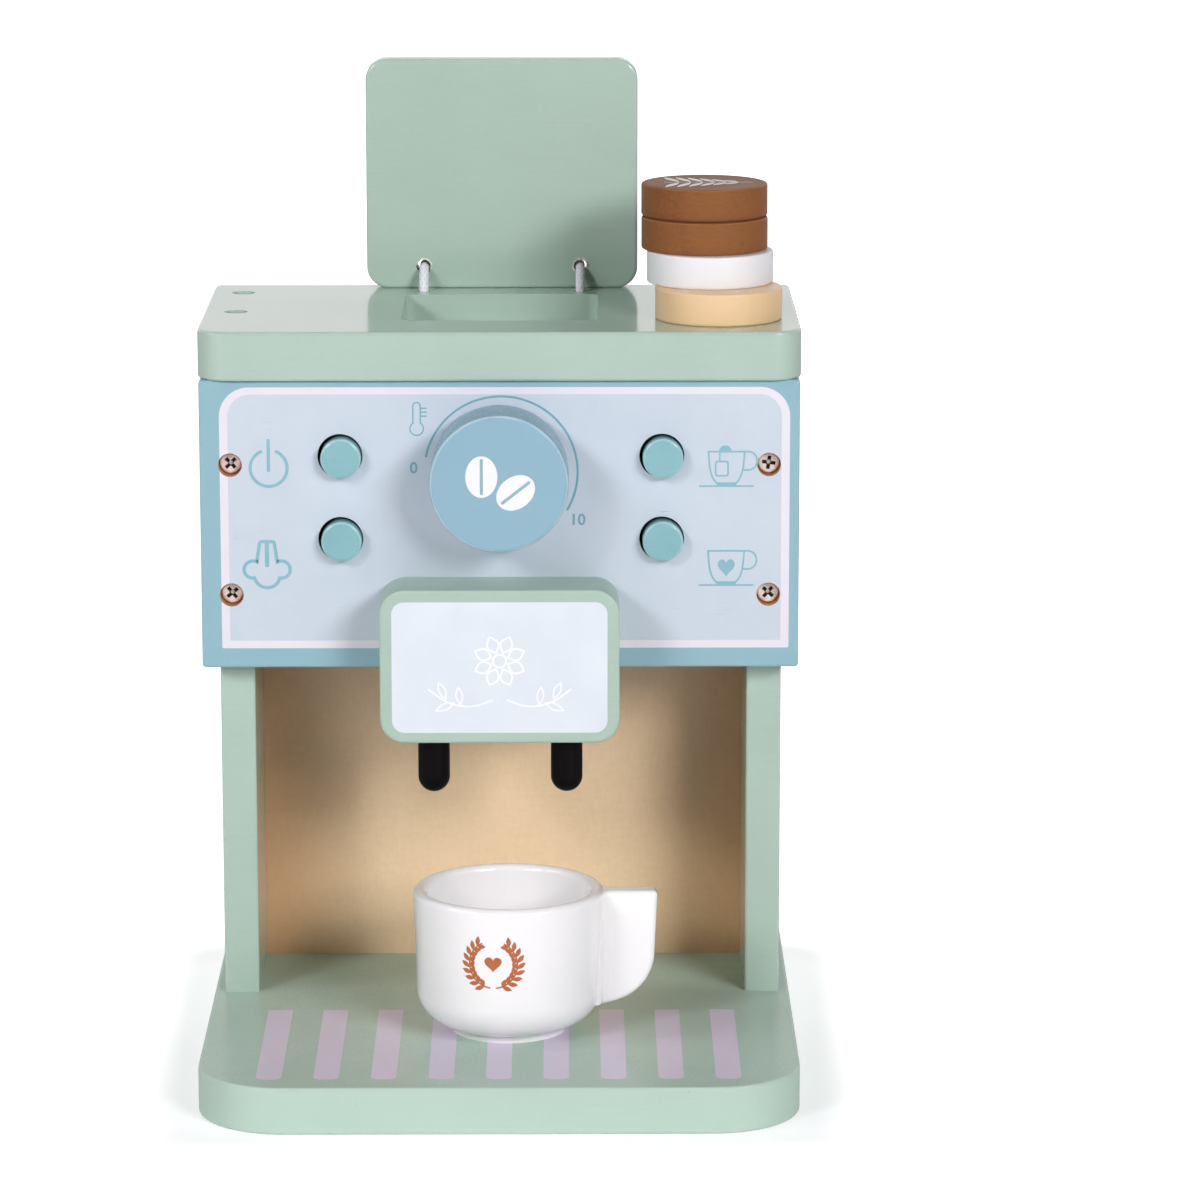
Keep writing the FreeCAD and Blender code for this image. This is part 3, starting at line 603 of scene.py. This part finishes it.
def braidedCotton(name):
    # white braid: the yarns cross as two families of slanting lines on the cord's own map
    material, shader, place = newMaterial(name, Roughness=0.75, Sheen_Weight=0.3)
    u, v = apart(coordinates(shader.id_data, "UV"))[:2]
    yarns = []
    for sign in (1.0, -1.0):
        slant = scaled(v, sign, u)
        yarns.append(unsigned(maths("SINE", times(slant, math.pi))))
    crest = larger(*yarns)
    fuzz = noise(place, 6000.0, 2.0)
    tone = mixColour(step(scaled(fuzz, 0.3, crest), 0.55, 1.05), colour(222, 220, 232), colour(244, 242, 250))
    finishSurface(shader, tone, None, scaled(fuzz, 0.4, crest), 0.00006)
    return material


acrossX, acrossY, acrossZ = (1, 0, 0), (0, 1, 0), (0, 0, 1)
mintFlat = painted("mintFlat", mintLook, acrossZ)
chippedLid = painted("chippedLid", lidLook, acrossY, lidOverprint)
mintUpright = painted("mintUpright", mintLook, acrossX)
stripedBase = painted("stripedBase", paintedLightBaseLook, acrossZ, baseOverprint)
printedBlock = painted("printedBlock", blockLook, acrossY, blockOverprint)
printedBoard = painted("printedBoard", blueLook, acrossY, boardOverprint)
blueKnob = painted("blueKnob", knobLook, acrossY)
aquaButton = painted("aquaButton", aquaLook, acrossY, buttonOverprint)
blackSpout = painted("blackSpout", blackLook, acrossZ)
brownDisc = painted("brownDisc", brownLook, acrossZ)
whiteDisc = painted("whiteDisc", whiteLook, acrossZ)
glossyCup = painted("glossyCup", cupLook, acrossZ)
naturalDisc = grainedWood("naturalDisc", colour(239, 202, 158), colour(222, 182, 136), 150.0, 0.14, 0.3, 0.15)
rawWood = grainedWood("rawWood", colour(226, 196, 152), colour(196, 158, 110), 300.0, 0.8, 0.55)
# the last colour is the painted shade on the panel's sides
beigePanel = fibreBoard("beigePanel", colour(251, 219, 182), colour(246, 212, 174), 700.0, 0.42, 0.00002,
                        colour(226, 204, 186))
rawFibre = fibreBoard("rawFibre", colour(190, 150, 106), colour(160, 120, 78), 1200.0, 0.8, 0.00005)
nickelScrew = plated("nickelScrew", colour(214, 190, 178), colour(176, 148, 136), 0.24, (0, 0.4, 0))
screwLook = {"tone": colour(255, 247, 244), "dull": colour(238, 222, 217), "paintedRecessShade": colour(58, 42, 35),
             "paintedGlint": colour(255, 253, 250), "paintedGlintReach": (0.00055, 0.0009), "metal": 0.05, "rough": 0.2, "face": 1.25,
             "recess": 2.3}
boardScrew = crossScrew("boardScrew", screwLook, *boreLook["screws"][:2])
springSteel = plated("springSteel", colour(190, 192, 196), colour(150, 152, 158), 0.28, (0, 0, 0.6))
tealInk = inkOf("tealInk", colour(132, 183, 197), boardPrint["fill"], 0.3, 0.4)
# the deeper ink is partly painted shade: the marks round the knob lie in its shadow
deepInkAndPaintedShade = inkOf("deepInkAndPaintedShade", colour(108, 167, 183), boardPrint["fill"], 0.3, 0.4)
whiteInk = inkOf("whiteInk", colour(244, 242, 247), blueLook["paint"], 0.15, 0.38)
slitInk = inkOf("slitInk", knobLook["paint"], knobLook["deep"], 0.3, 0.32)
paleInk = inkOf("paleInk", colour(249, 249, 253), facePrint["fill"], 0.5, 0.4)
rustInk = inkOf("rustInk", colour(190, 102, 52), colour(218, 170, 138), 0.35, 0.35)
milkInk = inkOf("milkInk", colour(244, 238, 236), brownLook["paint"], 0.2, 0.3)
whiteBraid = braidedCotton("whiteBraid")

finishes = {
    "base_board": stripedBase, "left_wall": mintUpright, "right_wall": mintUpright, "top_plate": mintFlat,
    "top_plate_plugs": mintFlat, "lid": chippedLid, "dispenser_block": printedBlock, "front_board": printedBoard,
    "inner_back_panel": beigePanel, "spring_backing_board": rawFibre, "knob": blueKnob, "knob_axle": rawWood,
    "knob_washer": springSteel, "knob_screw": nickelScrew, "left_spout": blackSpout, "right_spout": blackSpout,
    "cup": glossyCup, "disc_natural": naturalDisc, "disc_white": whiteDisc, "disc_brown": brownDisc,
    "disc_rosetta": brownDisc, "front_board_screws": boardScrew, "top_plate_screws": nickelScrew,
    "base_screws": nickelScrew, "dispenser_screws": nickelScrew,
}
buttonCorners = ("left_upper", "left_lower", "right_upper", "right_lower")
for corner in buttonCorners:
    finishes["button_" + corner] = aquaButton
    # the collars are painted black so the gaps round the buttons read dark: painted shade
    finishes["collar_" + corner] = blackSpout
    finishes["spring_" + corner] = springSteel
for name, material in finishes.items():
    for slot in cadNodes[name].material_slots:
        slot.material = material
print("materials laid on", len(finishes), "nodes")


# Prints

inkGap = 0.03 * mm
inkRise = 0.00000005  # how far each shape of a sheet lies above the last, in metres


class InkSheet:
    # flat shapes in millimetres gathered on one sheet, each a hair above the last so that none share a plane

    def __init__(self):
        self.points = np.zeros((0, 3))
        self.faces = []

    def add(self, *lines):
        # takes up lines of points at the sheet's present level, and says where the first begins
        level = np.full((len(lines[0]), 1), inkRise * len(self.faces))
        start = len(self.points)
        self.points = np.vstack((self.points, *(np.hstack((line * mm, level)) for line in lines)))
        return start

    def shape(self, outline):
        # one filled shape from its outline, counted anticlockwise
        start = self.add(np.asarray(outline, float))
        self.faces.append(list(range(start, start + len(outline))))

    def line(self, points, width, closed=False):
        # a ribbon: each point goes half a width to both sides, longer where the line turns a corner
        spots = np.asarray(points, float)
        ahead = np.roll(spots, -1, 0) - spots
        if not closed:
            ahead[-1] = spots[-1] - spots[-2]
        ahead /= np.linalg.norm(ahead, axis=1)[:, None]
        behind = np.roll(ahead, 1, 0)
        if not closed:
            behind[0] = ahead[0]
        heading = ahead + behind
        heading /= np.maximum(np.linalg.norm(heading, axis=1), 1e-9)[:, None]
        aside = np.stack((-heading[:, 1], heading[:, 0]), 1)
        reach = width / 2 / np.maximum((heading * ahead).sum(1), 0.4)[:, None]
        left, right = spots + aside * reach, spots - aside * reach
        count = len(spots)
        start = self.add(right, left)
        first = np.arange(count if closed else count - 1)
        after = (first + 1) % count
        quads = np.stack((first, after, after + count, first + count), 1) + start
        self.faces.extend(quads.tolist())
        if not closed:
            turn = np.linspace(-math.pi / 2, math.pi / 2, 9)
            for middle, way in ((spots[0], -heading[0]), (spots[-1], heading[-1])):
                facing = math.atan2(way[1], way[0])
                rim = np.stack((np.cos(turn + facing), np.sin(turn + facing)), 1) * width / 2
                self.shape(middle + rim)

    def object(self, name, lift, material, body, slotName):
        # the sheet's points go to their place through lift, given the sheet's two directions and level
        mesh = bpy.data.meshes.new(name)
        mesh.from_pydata(lift(*self.points.T).tolist(), [], self.faces)
        mesh.materials.append(material)
        made = addObject(name, mesh)
        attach(made, body)


def arcPoints(middle, radius, start, end, count=33):
    # points on an arc; a pair of radii makes it elliptic
    turn = np.radians(np.linspace(start, end, count))
    radii = np.broadcast_to(np.asarray(radius, float), 2)
    return np.asarray(middle, float) + np.stack((np.cos(turn) * radii[0], np.sin(turn) * radii[1]), 1)


def curvePoints(corners, count=12):
    # a smooth line through the middles of the given points' runs, a quadratic spline
    corners = np.asarray(corners, float)
    middles = (corners[1:] + corners[:-1]) / 2
    share = np.linspace(0, 1, count)[:, None]
    parts = [corners[:1]]
    for first, control, last in zip(middles[:-1], corners[1:-1], middles[1:]):
        parts.append((1 - share) ** 2 * first + 2 * share * (1 - share) * control + share ** 2 * last)
    parts.append(corners[-1:])
    line = np.vstack(parts)
    keep = np.r_[True, np.linalg.norm(np.diff(line, axis=0), axis=1) > 1e-7]
    return line[keep]


def onFront(face, gaps=1):
    # the sheet stands up just before a face: across is X, up is Z, and its level rises towards the front
    return lambda across, up, level: np.stack((across, np.full_like(across, face * mm - gaps * inkGap) - level, up), 1)


def meshPoints(mesh):
    spots = np.empty(len(mesh.vertices) * 3)
    mesh.vertices.foreach_get("co", spots)
    return spots.reshape(-1, 3)


def frozenMesh(data):
    # the plain mesh that a text or a curve comes to
    holder = addObject("holder", data)
    bpy.context.view_layer.update()
    mesh = bpy.data.meshes.new_from_object(holder.evaluated_get(bpy.context.evaluated_depsgraph_get()))
    bpy.data.objects.remove(holder)
    return mesh


iconLook = {"thin": 0.38, "fine": 0.5, "bold": 0.95, "dialWidth": 0.62, "dialRadius": 22.2, "dialMiddle": (0.4, 172.7)}


def powerIcon(sheet):
    # a ring open at the top, with a bar in its gap
    sheet.line(arcPoints((-66.9, 173.9), 5.35, 114.6, 425.4, 61), iconLook["bold"])
    sheet.line(((-66.95, 182.05), (-66.95, 173.2)), iconLook["bold"])


def steamIcon(sheet):
    # one closed line: a hook to each side, the low arc between them and the nozzle standing on it
    x = -67.7
    left = arcPoints((x - 4.15, 143.95), 2.55, 63, 280)
    low = arcPoints((x, 142.3), 3.75, 193.7, 346.3)
    right = arcPoints((x + 4.15, 143.95), 2.55, -100, 117)
    nozzle = ((x + 2.95, 146.2), (x + 2.2, 151.5))
    topRight = arcPoints((x + 1.5, 151.55), 0.65, 0, 90, 7)
    topLeft = arcPoints((x - 1.5, 151.55), 0.65, 90, 180, 7)
    nozzleLeft = np.array(((x - 2.2, 151.5), (x - 2.95, 146.2)))
    sheet.line(np.vstack((left, low[1:], right[1:], nozzle, topRight[1:], topLeft, nozzleLeft[1:])), 1.0, closed=True)
    sheet.line(((x, 151.9), (x, 145.2)), 1.25)


def thermometerIcon(sheet):
    # a bulb's arc and a cap's half circle joined into one closed line, with three marks beside it
    x, low, high, half, bulb = -23.95, 185.45, 193.15, 1.07, 1.95
    tuck = math.degrees(math.acos(half / bulb))
    around = arcPoints((x, low), bulb, 180 - tuck, 360 + tuck, 41)
    cap = arcPoints((x, high - half), half, 0, 180, 17)
    sheet.line(np.vstack((around, cap)), iconLook["thin"], closed=True)
    for rise in (191.45, 190.3, 189.15):
        sheet.line(((x + half + 0.1, rise), (x + 2.75, rise)), iconLook["thin"])


def cupIcon(sheet, x, z):
    # a cup on a saucer line, from the left end of its rim
    width, spot = iconLook["fine"], np.array((x, z))
    side = curvePoints(((0, 0), (0.15, -2.2), (0.45, -5.2), (1.3, -8.0), (2.5, -9.3)))
    other = np.stack((10.5 - side[::-1, 0], side[::-1, 1]), 1)
    sheet.line(np.vstack((side, other)) + spot, width, closed=True)
    handle = np.vstack((((10.4, 0),), arcPoints((11.6, -2.7), (2.5, 2.7), 90, -90, 25), ((10.0, -5.4),)))
    sheet.line(handle + spot, width)
    sheet.line(((-2.5, -10.15), (13.0, -10.15)) + spot, width)
    sheet.shape(((2.3, -9.9), (8.2, -9.9), (7.9, -9.2), (2.6, -9.2)) + spot)


def heartShape(sheet, middle, size, tall=1.0):
    # the heart curve: sixteen cubed sines across, four cosines up
    turn = np.linspace(0, 2 * math.pi, 61)[:-1]
    across = 16 * np.sin(turn) ** 3
    up = 13 * np.cos(turn) - 5 * np.cos(2 * turn) - 2 * np.cos(3 * turn) - np.cos(4 * turn)
    sheet.shape(np.asarray(middle) + np.stack((across, up * tall), 1)[::-1] * size / 32)


def drawBoardIcons():
    # the icons and the dial's arc, in two tones, the deeper one partly painted shade from the knob; the tag's outline
    # is four quarter circles joined
    sheet, dark = InkSheet(), InkSheet()
    powerIcon(sheet)
    steamIcon(sheet)
    thermometerIcon(dark)
    cupIcon(sheet, 60.5, 178.6)
    sheet.shape(arcPoints((65.4, 178.6), 1.85, 0, 180, 25))
    sheet.line(((63.8, 178.6), (63.8, 175.9)), 0.4)
    tag = [arcPoints(spot, 0.6, start, start + 90, 7) for spot, start in
           (((65.6, 175.1), 0), ((63.2, 175.1), 90), ((63.2, 172.1), 180), ((65.6, 172.1), 270))]
    sheet.line(np.vstack(tag), iconLook["fine"], closed=True)
    cupIcon(sheet, 60.5, 149.3)
    heartShape(sheet, (65.8, 144.6), 4.9, 1.2)
    dark.line(arcPoints(iconLook["dialMiddle"], iconLook["dialRadius"], 168, -30, 121), iconLook["dialWidth"])
    sheet.object("boardIcons", onFront(boardPrint["face"]), tealInk, "machine", "blue_paint")
    dark.object("boardScales", onFront(boardPrint["face"]), deepInkAndPaintedShade, "machine", "blue_paint")


numberLook = {"size": 4.6, "bolder": 0.09, "places": {"0": (-24.9, 172.4), "10": (22.6, 157.1)}}


def drawDialNumbers():
    # plain numbers at both ends of the dial
    for body, (x, z) in numberLook["places"].items():
        text = bpy.data.curves.new("dialNumber" + body, "FONT")
        text.body = body
        text.size = numberLook["size"] * mm
        text.offset = numberLook["bolder"] * mm
        text.align_x = "CENTER"
        mesh = frozenMesh(text)
        spots = meshPoints(mesh) + np.array((x, z, 0)) * mm
        mesh.vertices.foreach_set("co", onFront(boardPrint["face"])(*spots.T).ravel())
        mesh.materials.clear()
        mesh.materials.append(deepInkAndPaintedShade)
        number = addObject("dialNumber" + body, mesh)
        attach(number, "machine")


beanLook = {"size": (4.6, 6.05), "slit": 0.9, "slitLength": 9.6, "face": -22.5,
            "beans": (((-5.0, 174.9), 0.0), ((4.8, 170.3), -52.0))}


def drawBeans():
    # two beans on the knob: an oval with a straight slit
    ovals, slits = InkSheet(), InkSheet()
    for middle, lean in beanLook["beans"]:
        turn = math.radians(lean)
        spin = np.array(((math.cos(turn), math.sin(turn)), (-math.sin(turn), math.cos(turn))))
        oval = arcPoints((0, 0), beanLook["size"], 0, 360, 73)[:-1]
        ovals.shape(oval @ spin + middle)
        half = beanLook["slitLength"] / 2
        slits.line(((0, -half), (0, half)) @ spin + middle, beanLook["slit"])
    ovals.object("knobBeans", onFront(beanLook["face"]), whiteInk, "knob", "white_paint")
    slits.object("knobBeanSlits", onFront(beanLook["face"], 2), slitInk, "knob", "blue_paint")


def leafOutline(tip, root, belly):
    # a pointed leaf: its width swells as a sine from the root to the tip
    share = np.linspace(0, 1, 15)[:, None]
    root, tip = np.asarray(root, float), np.asarray(tip, float)
    way = tip - root
    aside = np.array((-way[1], way[0])) / np.linalg.norm(way)
    swell = np.sin(math.pi * share) * belly / 2
    line = root + way * share
    return np.vstack((line - aside * swell, (line + aside * swell)[-2:0:-1]))


flowerLook = {"middle": (0.0, 121.0), "petals": 8, "inner": 2.6, "outer": 7.6, "width": 0.55, "face": -22.5,
              "twig": ((20.5, 112.6), (15.0, 108.4), (8.0, 107.2), (2.2, 109.4)),
              "leaves": (((15.6, 109.9), (17.6, 114.6)), ((11.4, 108.3), (12.0, 113.2)),
                         ((13.2, 108.6), (18.4, 106.4)))}


def drawBlockFlower():
    # a plain flower with a leaf to each side, drawn in pale lines
    sheet = InkSheet()
    middle, width = np.array(flowerLook["middle"]), flowerLook["width"]
    sheet.line(arcPoints(middle, flowerLook["inner"] - 0.7, 0, 360, 41)[:-1], width, closed=True)
    for petal in range(flowerLook["petals"]):
        turn = 2 * math.pi * (petal + 0.5) / flowerLook["petals"]
        way = np.array((math.cos(turn), math.sin(turn)))
        outline = leafOutline(middle + way * flowerLook["outer"], middle + way * flowerLook["inner"], 3.4)
        sheet.line(outline, width, closed=True)
    for mirror in (np.array((-1, 1)), np.array((1, 1))):
        sheet.line(curvePoints(mirror * flowerLook["twig"]), width)
        for root, tip in flowerLook["leaves"]:
            sheet.line(leafOutline(mirror * tip, mirror * root, 1.9), width * 0.8, closed=True)
    sheet.object("blockFlower", onFront(flowerLook["face"]), paleInk, "machine", "white_paint")


wreathLook = {"across": -4.2, "height": 40.0, "radius": 7.0, "leaves": 9, "leaf": 3.1, "belly": 1.35, "stem": 0.45,
              "cupMiddle": (2.4, -30.0), "lowRadius": 26.6, "lowHeight": 26.7, "highRadius": 27.6, "highHeight": 54.1}


def onCup(across, up, level):
    # wraps the sheet round the cup's wall, which widens evenly with height
    look = wreathLook
    share = (up - look["lowHeight"] * mm) / ((look["highHeight"] - look["lowHeight"]) * mm)
    radius = (look["lowRadius"] + (look["highRadius"] - look["lowRadius"]) * share) * mm + inkGap + level
    x, y = look["cupMiddle"]
    turn = across / radius
    return np.stack((x * mm + radius * np.sin(turn), y * mm - radius * np.cos(turn), up), 1)


def drawCupWreath():
    # two leafy twigs round a small heart
    sheet = InkSheet()
    middle = np.array((wreathLook["across"], wreathLook["height"]))
    radius = wreathLook["radius"]
    for side in (-1, 1):
        start, end = (-82, 62) if side > 0 else (262, 118)
        sheet.line(arcPoints(middle, radius, start, end, 45), wreathLook["stem"])
        for leaf in range(wreathLook["leaves"]):
            share = (leaf + 0.5) / wreathLook["leaves"]
            angle = math.radians(-76 + 132 * share)  # from low on the twig to its tip
            for lean, length in ((0.75, wreathLook["leaf"]), (-0.75, wreathLook["leaf"] * 0.8)):
                root = radius * np.array((math.cos(angle), math.sin(angle)))
                way = angle + math.pi / 2 - lean
                tip = root + length * np.array((math.cos(way), math.sin(way)))
                if side < 0:
                    root, tip = root * (-1, 1), tip * (-1, 1)
                sheet.shape(leafOutline(middle + tip, middle + root, wreathLook["belly"]))
    heartShape(sheet, middle + (0, 0.3), 5.0)
    sheet.object("cupWreath", onCup, rustInk, "cup", "brown_paint")


rosettaLook = {"middle": (60.1, 37.5), "top": 251.9, "first": -8.6, "spacing": 3.5, "belly": 2.3, "sweep": 3.2,
               "blades": (11.6, 11.4, 10.4, 8.8, 6.8, 4.4)}


def onDisc(across, along, level):
    # the sheet lies on the disc: across is X, along is Y, and its level rises
    return np.stack((across, along, np.full_like(across, rosettaLook["top"] * mm + inkGap) + level), 1)


def drawRosetta():
    # the leaf poured on milk coffee: pairs of blades swept back from a stem, shorter towards the tip
    sheet = InkSheet()
    look = rosettaLook
    middle = np.array(look["middle"])
    for level, length in enumerate(look["blades"]):
        root = look["first"] + look["spacing"] * level
        for side in (-1, 1):
            tip = np.array((root - look["sweep"], side * length))
            sheet.shape(leafOutline(middle + tip, middle + (root + 1.2, side * 0.5), look["belly"]))
    sheet.line(((look["first"] - 3.0, 0), (root + 5.0, 0)) + middle, 0.7)
    sheet.object("discRosetta", onDisc, milkInk, "disc_rosetta", "white_paint")


drawBoardIcons()
drawDialNumbers()
drawBeans()
drawBlockFlower()
drawCupWreath()
drawRosetta()
print("prints drawn")


# Braided cord

cordLook = {"thick": 2.8, "side": 23.7, "holeY": 76.05, "tailEnd": 189.5, "knot": 196.5, "plateTop": 213.9,
            "lidHoleZ": 220.15, "behindLid": 91.6, "around": 32, "stepLength": 0.16, "yarn": 0.07, "yarns": 6,
            "pitch": 2.3, "knotSize": 1.62, "knotThick": 2.5}


def splineThrough(route):
    # points of a smooth spline with the route as its control points
    curve = bpy.data.curves.new("cordRoute", "CURVE")
    curve.dimensions = "3D"
    curve.resolution_u = 24
    spline = curve.splines.new("NURBS")
    spline.points.add(len(route) - 1)
    for point, spot in zip(spline.points, route):
        point.co = (*spot, 1)
    spline.order_u = 3
    spline.use_endpoint_u = True
    return meshPoints(frozenMesh(curve))


def evenly(spots, spacing):
    # the same line with points at an even spacing along it
    run = np.r_[0, np.cumsum(np.linalg.norm(np.diff(spots, axis=0), axis=1))]
    marks = np.linspace(0, run[-1], max(int(run[-1] / spacing), 8))
    return np.stack([np.interp(marks, run, spots[:, axis]) for axis in range(3)], 1), marks


def braidedTube(spots, marks, radius, look):
    # a round bar along the line: its radius swells where the two families of yarns cross
    ahead = np.gradient(spots, axis=0)
    ahead /= np.linalg.norm(ahead, axis=1)[:, None]
    side = np.zeros_like(ahead)
    side[0] = np.cross(ahead[0], (0.3, 0.9, 0.1))
    side[0] /= np.linalg.norm(side[0])
    for index in range(1, len(ahead)):  # carries the side direction along without twist
        moved = side[index - 1] - ahead[index] * side[index - 1].dot(ahead[index])
        side[index] = moved / np.linalg.norm(moved)
    over = np.cross(ahead, side)
    count = look["around"]
    turn = np.arange(count) * 2 * math.pi / count
    wave = look["yarns"] * turn[None, :]
    travel = marks[:, None] * 2 * math.pi / (look["pitch"] * mm)
    braid = np.maximum(np.abs(np.sin((wave + travel) / 2)), np.abs(np.sin((wave - travel) / 2)))
    reach = radius - look["yarn"] * mm * (1 - braid) * 1.4
    ring = np.cos(turn)[None, :, None] * side[:, None, :] + np.sin(turn)[None, :, None] * over[:, None, :]
    points = spots[:, None, :] + ring * reach[:, :, None]
    rows = len(spots)
    index = np.arange(rows * count).reshape(rows, count)
    onward = np.roll(index, -1, 1)
    quads = np.stack((index[:-1], onward[:-1], onward[1:], index[1:]), -1).reshape(-1, 4)
    flat = (np.stack(np.broadcast_arrays(wave / (2 * math.pi), travel / (2 * math.pi)), -1)).reshape(-1, 2)
    return points.reshape(-1, 3), quads, flat, (index[0][::-1], index[-1])


def hingeCord():
    # one elastic cord: knotted under the plate, up through it, through the lid and back
    # each knot is a closed trefoil: its turn's sine and cosine added to twice those of the doubled turn
    look = cordLook
    side, hole, top, lid, back = (look[name] for name in ("side", "holeY", "plateTop", "lidHoleZ", "behindLid"))
    half = [(side, hole, look["tailEnd"]), (side, hole, look["knot"]), (side, hole, 207.0), (side, hole, top + 0.4),
            (side, hole + 0.5, top + 2.6), (side, 80.4, lid - 0.3), (side, 84.0, lid), (side, 88.6, lid),
            (side, back, lid), (side - 3.6, back, lid), (side - 12.0, back, lid - 0.35)]
    left = [(-x, y, z) for x, y, z in half]
    route = np.array(left + half[::-1]) * mm
    spots, marks = evenly(splineThrough(route), look["stepLength"] * mm)
    pieces = [braidedTube(spots, marks, look["thick"] * mm / 2, look)]
    for sign in (-1, 1):
        turn = np.linspace(0, 2 * math.pi, 181)
        knot = np.stack((np.sin(turn) + 2 * np.sin(2 * turn), np.cos(turn) - 2 * np.cos(2 * turn),
                         -1.6 * np.sin(3 * turn)), 1) / 3 * look["knotSize"] * mm
        knot = knot + np.array((sign * side, hole, look["knot"])) * mm
        pieces.append(braidedTube(*evenly(knot, look["stepLength"] * mm), look["knotThick"] * mm / 2, look))
    points, faces, flats, start = [], [], [], 0
    for skin, quads, flat, ends in pieces:
        points.append(skin)
        faces.extend((quads + start).tolist())
        flats.append(flat)
        faces.extend([(end + start).tolist() for end in ends])
        start += len(skin)
    mesh = bpy.data.meshes.new("hingeCord")
    mesh.from_pydata(np.vstack(points).tolist(), [], faces)
    mesh.polygons.foreach_set("use_smooth", [True] * len(mesh.polygons))
    flats = np.vstack(flats)
    corners = np.empty(len(mesh.loops), int)
    mesh.loops.foreach_get("vertex_index", corners)
    layer = mesh.uv_layers.new(name="yarnMap")
    layer.data.foreach_set("uv", flats[corners].astype(np.float32).ravel())
    mesh.materials.append(whiteBraid)
    cord = addObject("hingeCord", mesh)
    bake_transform(cord)
    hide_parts("hinge_cord_ends", "hinge_cord_strands", "hinge_cord_loop")


hingeCord()
print("cord braided")


# Button springs

def pressedSprings():
    # each spring is its solid's mesh merged into one skin
    for corner in buttonCorners:
        solid = cadNodes["spring_" + corner]
        work = bmesh.new()
        work.from_mesh(solid.data)
        bmesh.ops.transform(work, matrix=solid.matrix_world, verts=work.verts)
        bmesh.ops.remove_doubles(work, verts=work.verts, dist=0.001 * mm)
        mesh = bpy.data.meshes.new("buttonSpring_" + corner)
        work.to_mesh(mesh)
        work.free()
        mesh.polygons.foreach_set("use_smooth", [True] * len(mesh.polygons))
        mesh.materials.append(springSteel)
        front, back = meshPoints(mesh).min(0), meshPoints(mesh).max(0)
        spring = addObject("buttonSpring_" + corner, mesh)
        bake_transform(spring)
        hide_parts("spring_" + corner)


pressedSprings()


# Floor and light

# sizes in metres; each lamp has its turn from the front, its rise, its side and its power
studio = {"floor": colour(240, 240, 242), "floorCloud": colour(237, 237, 240), "floorSize": 14.0, "floorGlow": 0.4,
          "farGlow": 0.7, "fade": 0.034, "thinning": (-0.09, 0.09, 0.0, 0.17), "bounce": 0.16, "ambient": 0.0,
          "frontGloss": 0.3, "backGloss": 1.0, "aim": (0.0, 0.0, 0.12), "lampReach": 3.0,
          "lamps": {"leftHigh": (-72, 34, 0.8, 14.0), "leftLow": (-40, 27, 0.55, 22.0),
                    "leftFront": (-30, 19, 0.75, 9.5), "rightFront": (30, 21, 0.75, 33.5),
                    "rightLow": (42, 26, 0.55, 18.0), "rearLeft": (-150, 14, 0.9, 12.0),
                    "rearRight": (150, 14, 0.9, 12.0)}}


def addFloor():
    # a pale sweep that shines a little, mostly for the camera: white but for the shade close to the toy
    half = studio["floorSize"] / 2
    mesh = bpy.data.meshes.new("studioFloor")
    mesh.from_pydata([(-half, -half, 0), (half, -half, 0), (half, half, 0), (-half, half, 0)], [], [(0, 1, 2, 3)])
    material, shader, place = newMaterial("paleSweep", Roughness=0.6)
    shader.inputs["Emission Color"].default_value = (1, 1, 1, 1)
    ray = put("LightPath", {}, shader.id_data).outputs
    past = place  # how far a place lies outside the toy's box, along each axis
    for operation, other in (("ABSOLUTE", (0, 0, 0)), ("SUBTRACT", cadBox[1]), ("MAXIMUM", (0, 0, 0))):
        past = put("VectorMath", {0: past, 1: other}, operation=operation).outputs[0]
    away = put("VectorMath", {0: past}, operation="LENGTH").outputs["Value"]
    behind = step(apart(place)[1], *studio["thinning"])  # the shade thins out towards the back
    clear = larger(step(away, 0.0, studio["fade"]), behind)
    glow = scaled(clear, studio["farGlow"], studio["floorGlow"])
    spread = times(ray["Is Diffuse Ray"], studio["bounce"])
    join(scaled(ray["Is Camera Ray"], glow, spread), shader.inputs["Emission Strength"])
    cloud = noise(place, 3.0, 2.0)
    join(mixColour(cloud, studio["floor"], studio["floorCloud"]), shader.inputs["Base Color"])
    mesh.materials.append(material)
    addObject("studioFloor", mesh)


def addLights():
    # each lamp stands on a sphere about the aim and looks at it; the world's light is for gloss and the camera
    aim = Vector(studio["aim"])
    for name, (heading, rise, side, power) in studio["lamps"].items():
        lamp = bpy.data.lights.new(name, "AREA")
        lamp.size = side
        lamp.energy = power
        holder = addObject(name, lamp)
        holder.visible_glossy = not name.startswith("rear")  # the rear lamps don't show in the gloss
        turn, lift = math.radians(heading), math.radians(rise)
        way = Vector((math.cos(lift) * math.sin(turn), -math.cos(lift) * math.cos(turn), math.sin(lift)))
        holder.location = aim + way * studio["lampReach"]
        holder.rotation_euler = way.to_track_quat("Z", "Y").to_euler()
    world = bpy.data.worlds.new("studioWorld")
    world.use_nodes = True
    bpy.context.scene.world = world
    tree = world.node_tree
    background = tree.nodes["Background"]
    background.inputs["Color"].default_value = (1, 1, 1, 1)
    ray = put("LightPath", {}, tree).outputs
    backward = apart(coordinates(tree, "Generated"))[1]
    gloss = step(backward, 0.0, 0.6, studio["frontGloss"], studio["backGloss"])
    soft = minus(studio["ambient"], gloss)
    lit = scaled(ray["Is Diffuse Ray"], soft, gloss)
    rest = minus(1.0, lit)
    join(scaled(ray["Is Camera Ray"], rest, lit), background.inputs["Strength"])
    bpy.context.scene.view_settings.view_transform = "Standard"
    bpy.context.scene.view_settings.look = "None"


addFloor()
addLights()
print("floor and lights placed")
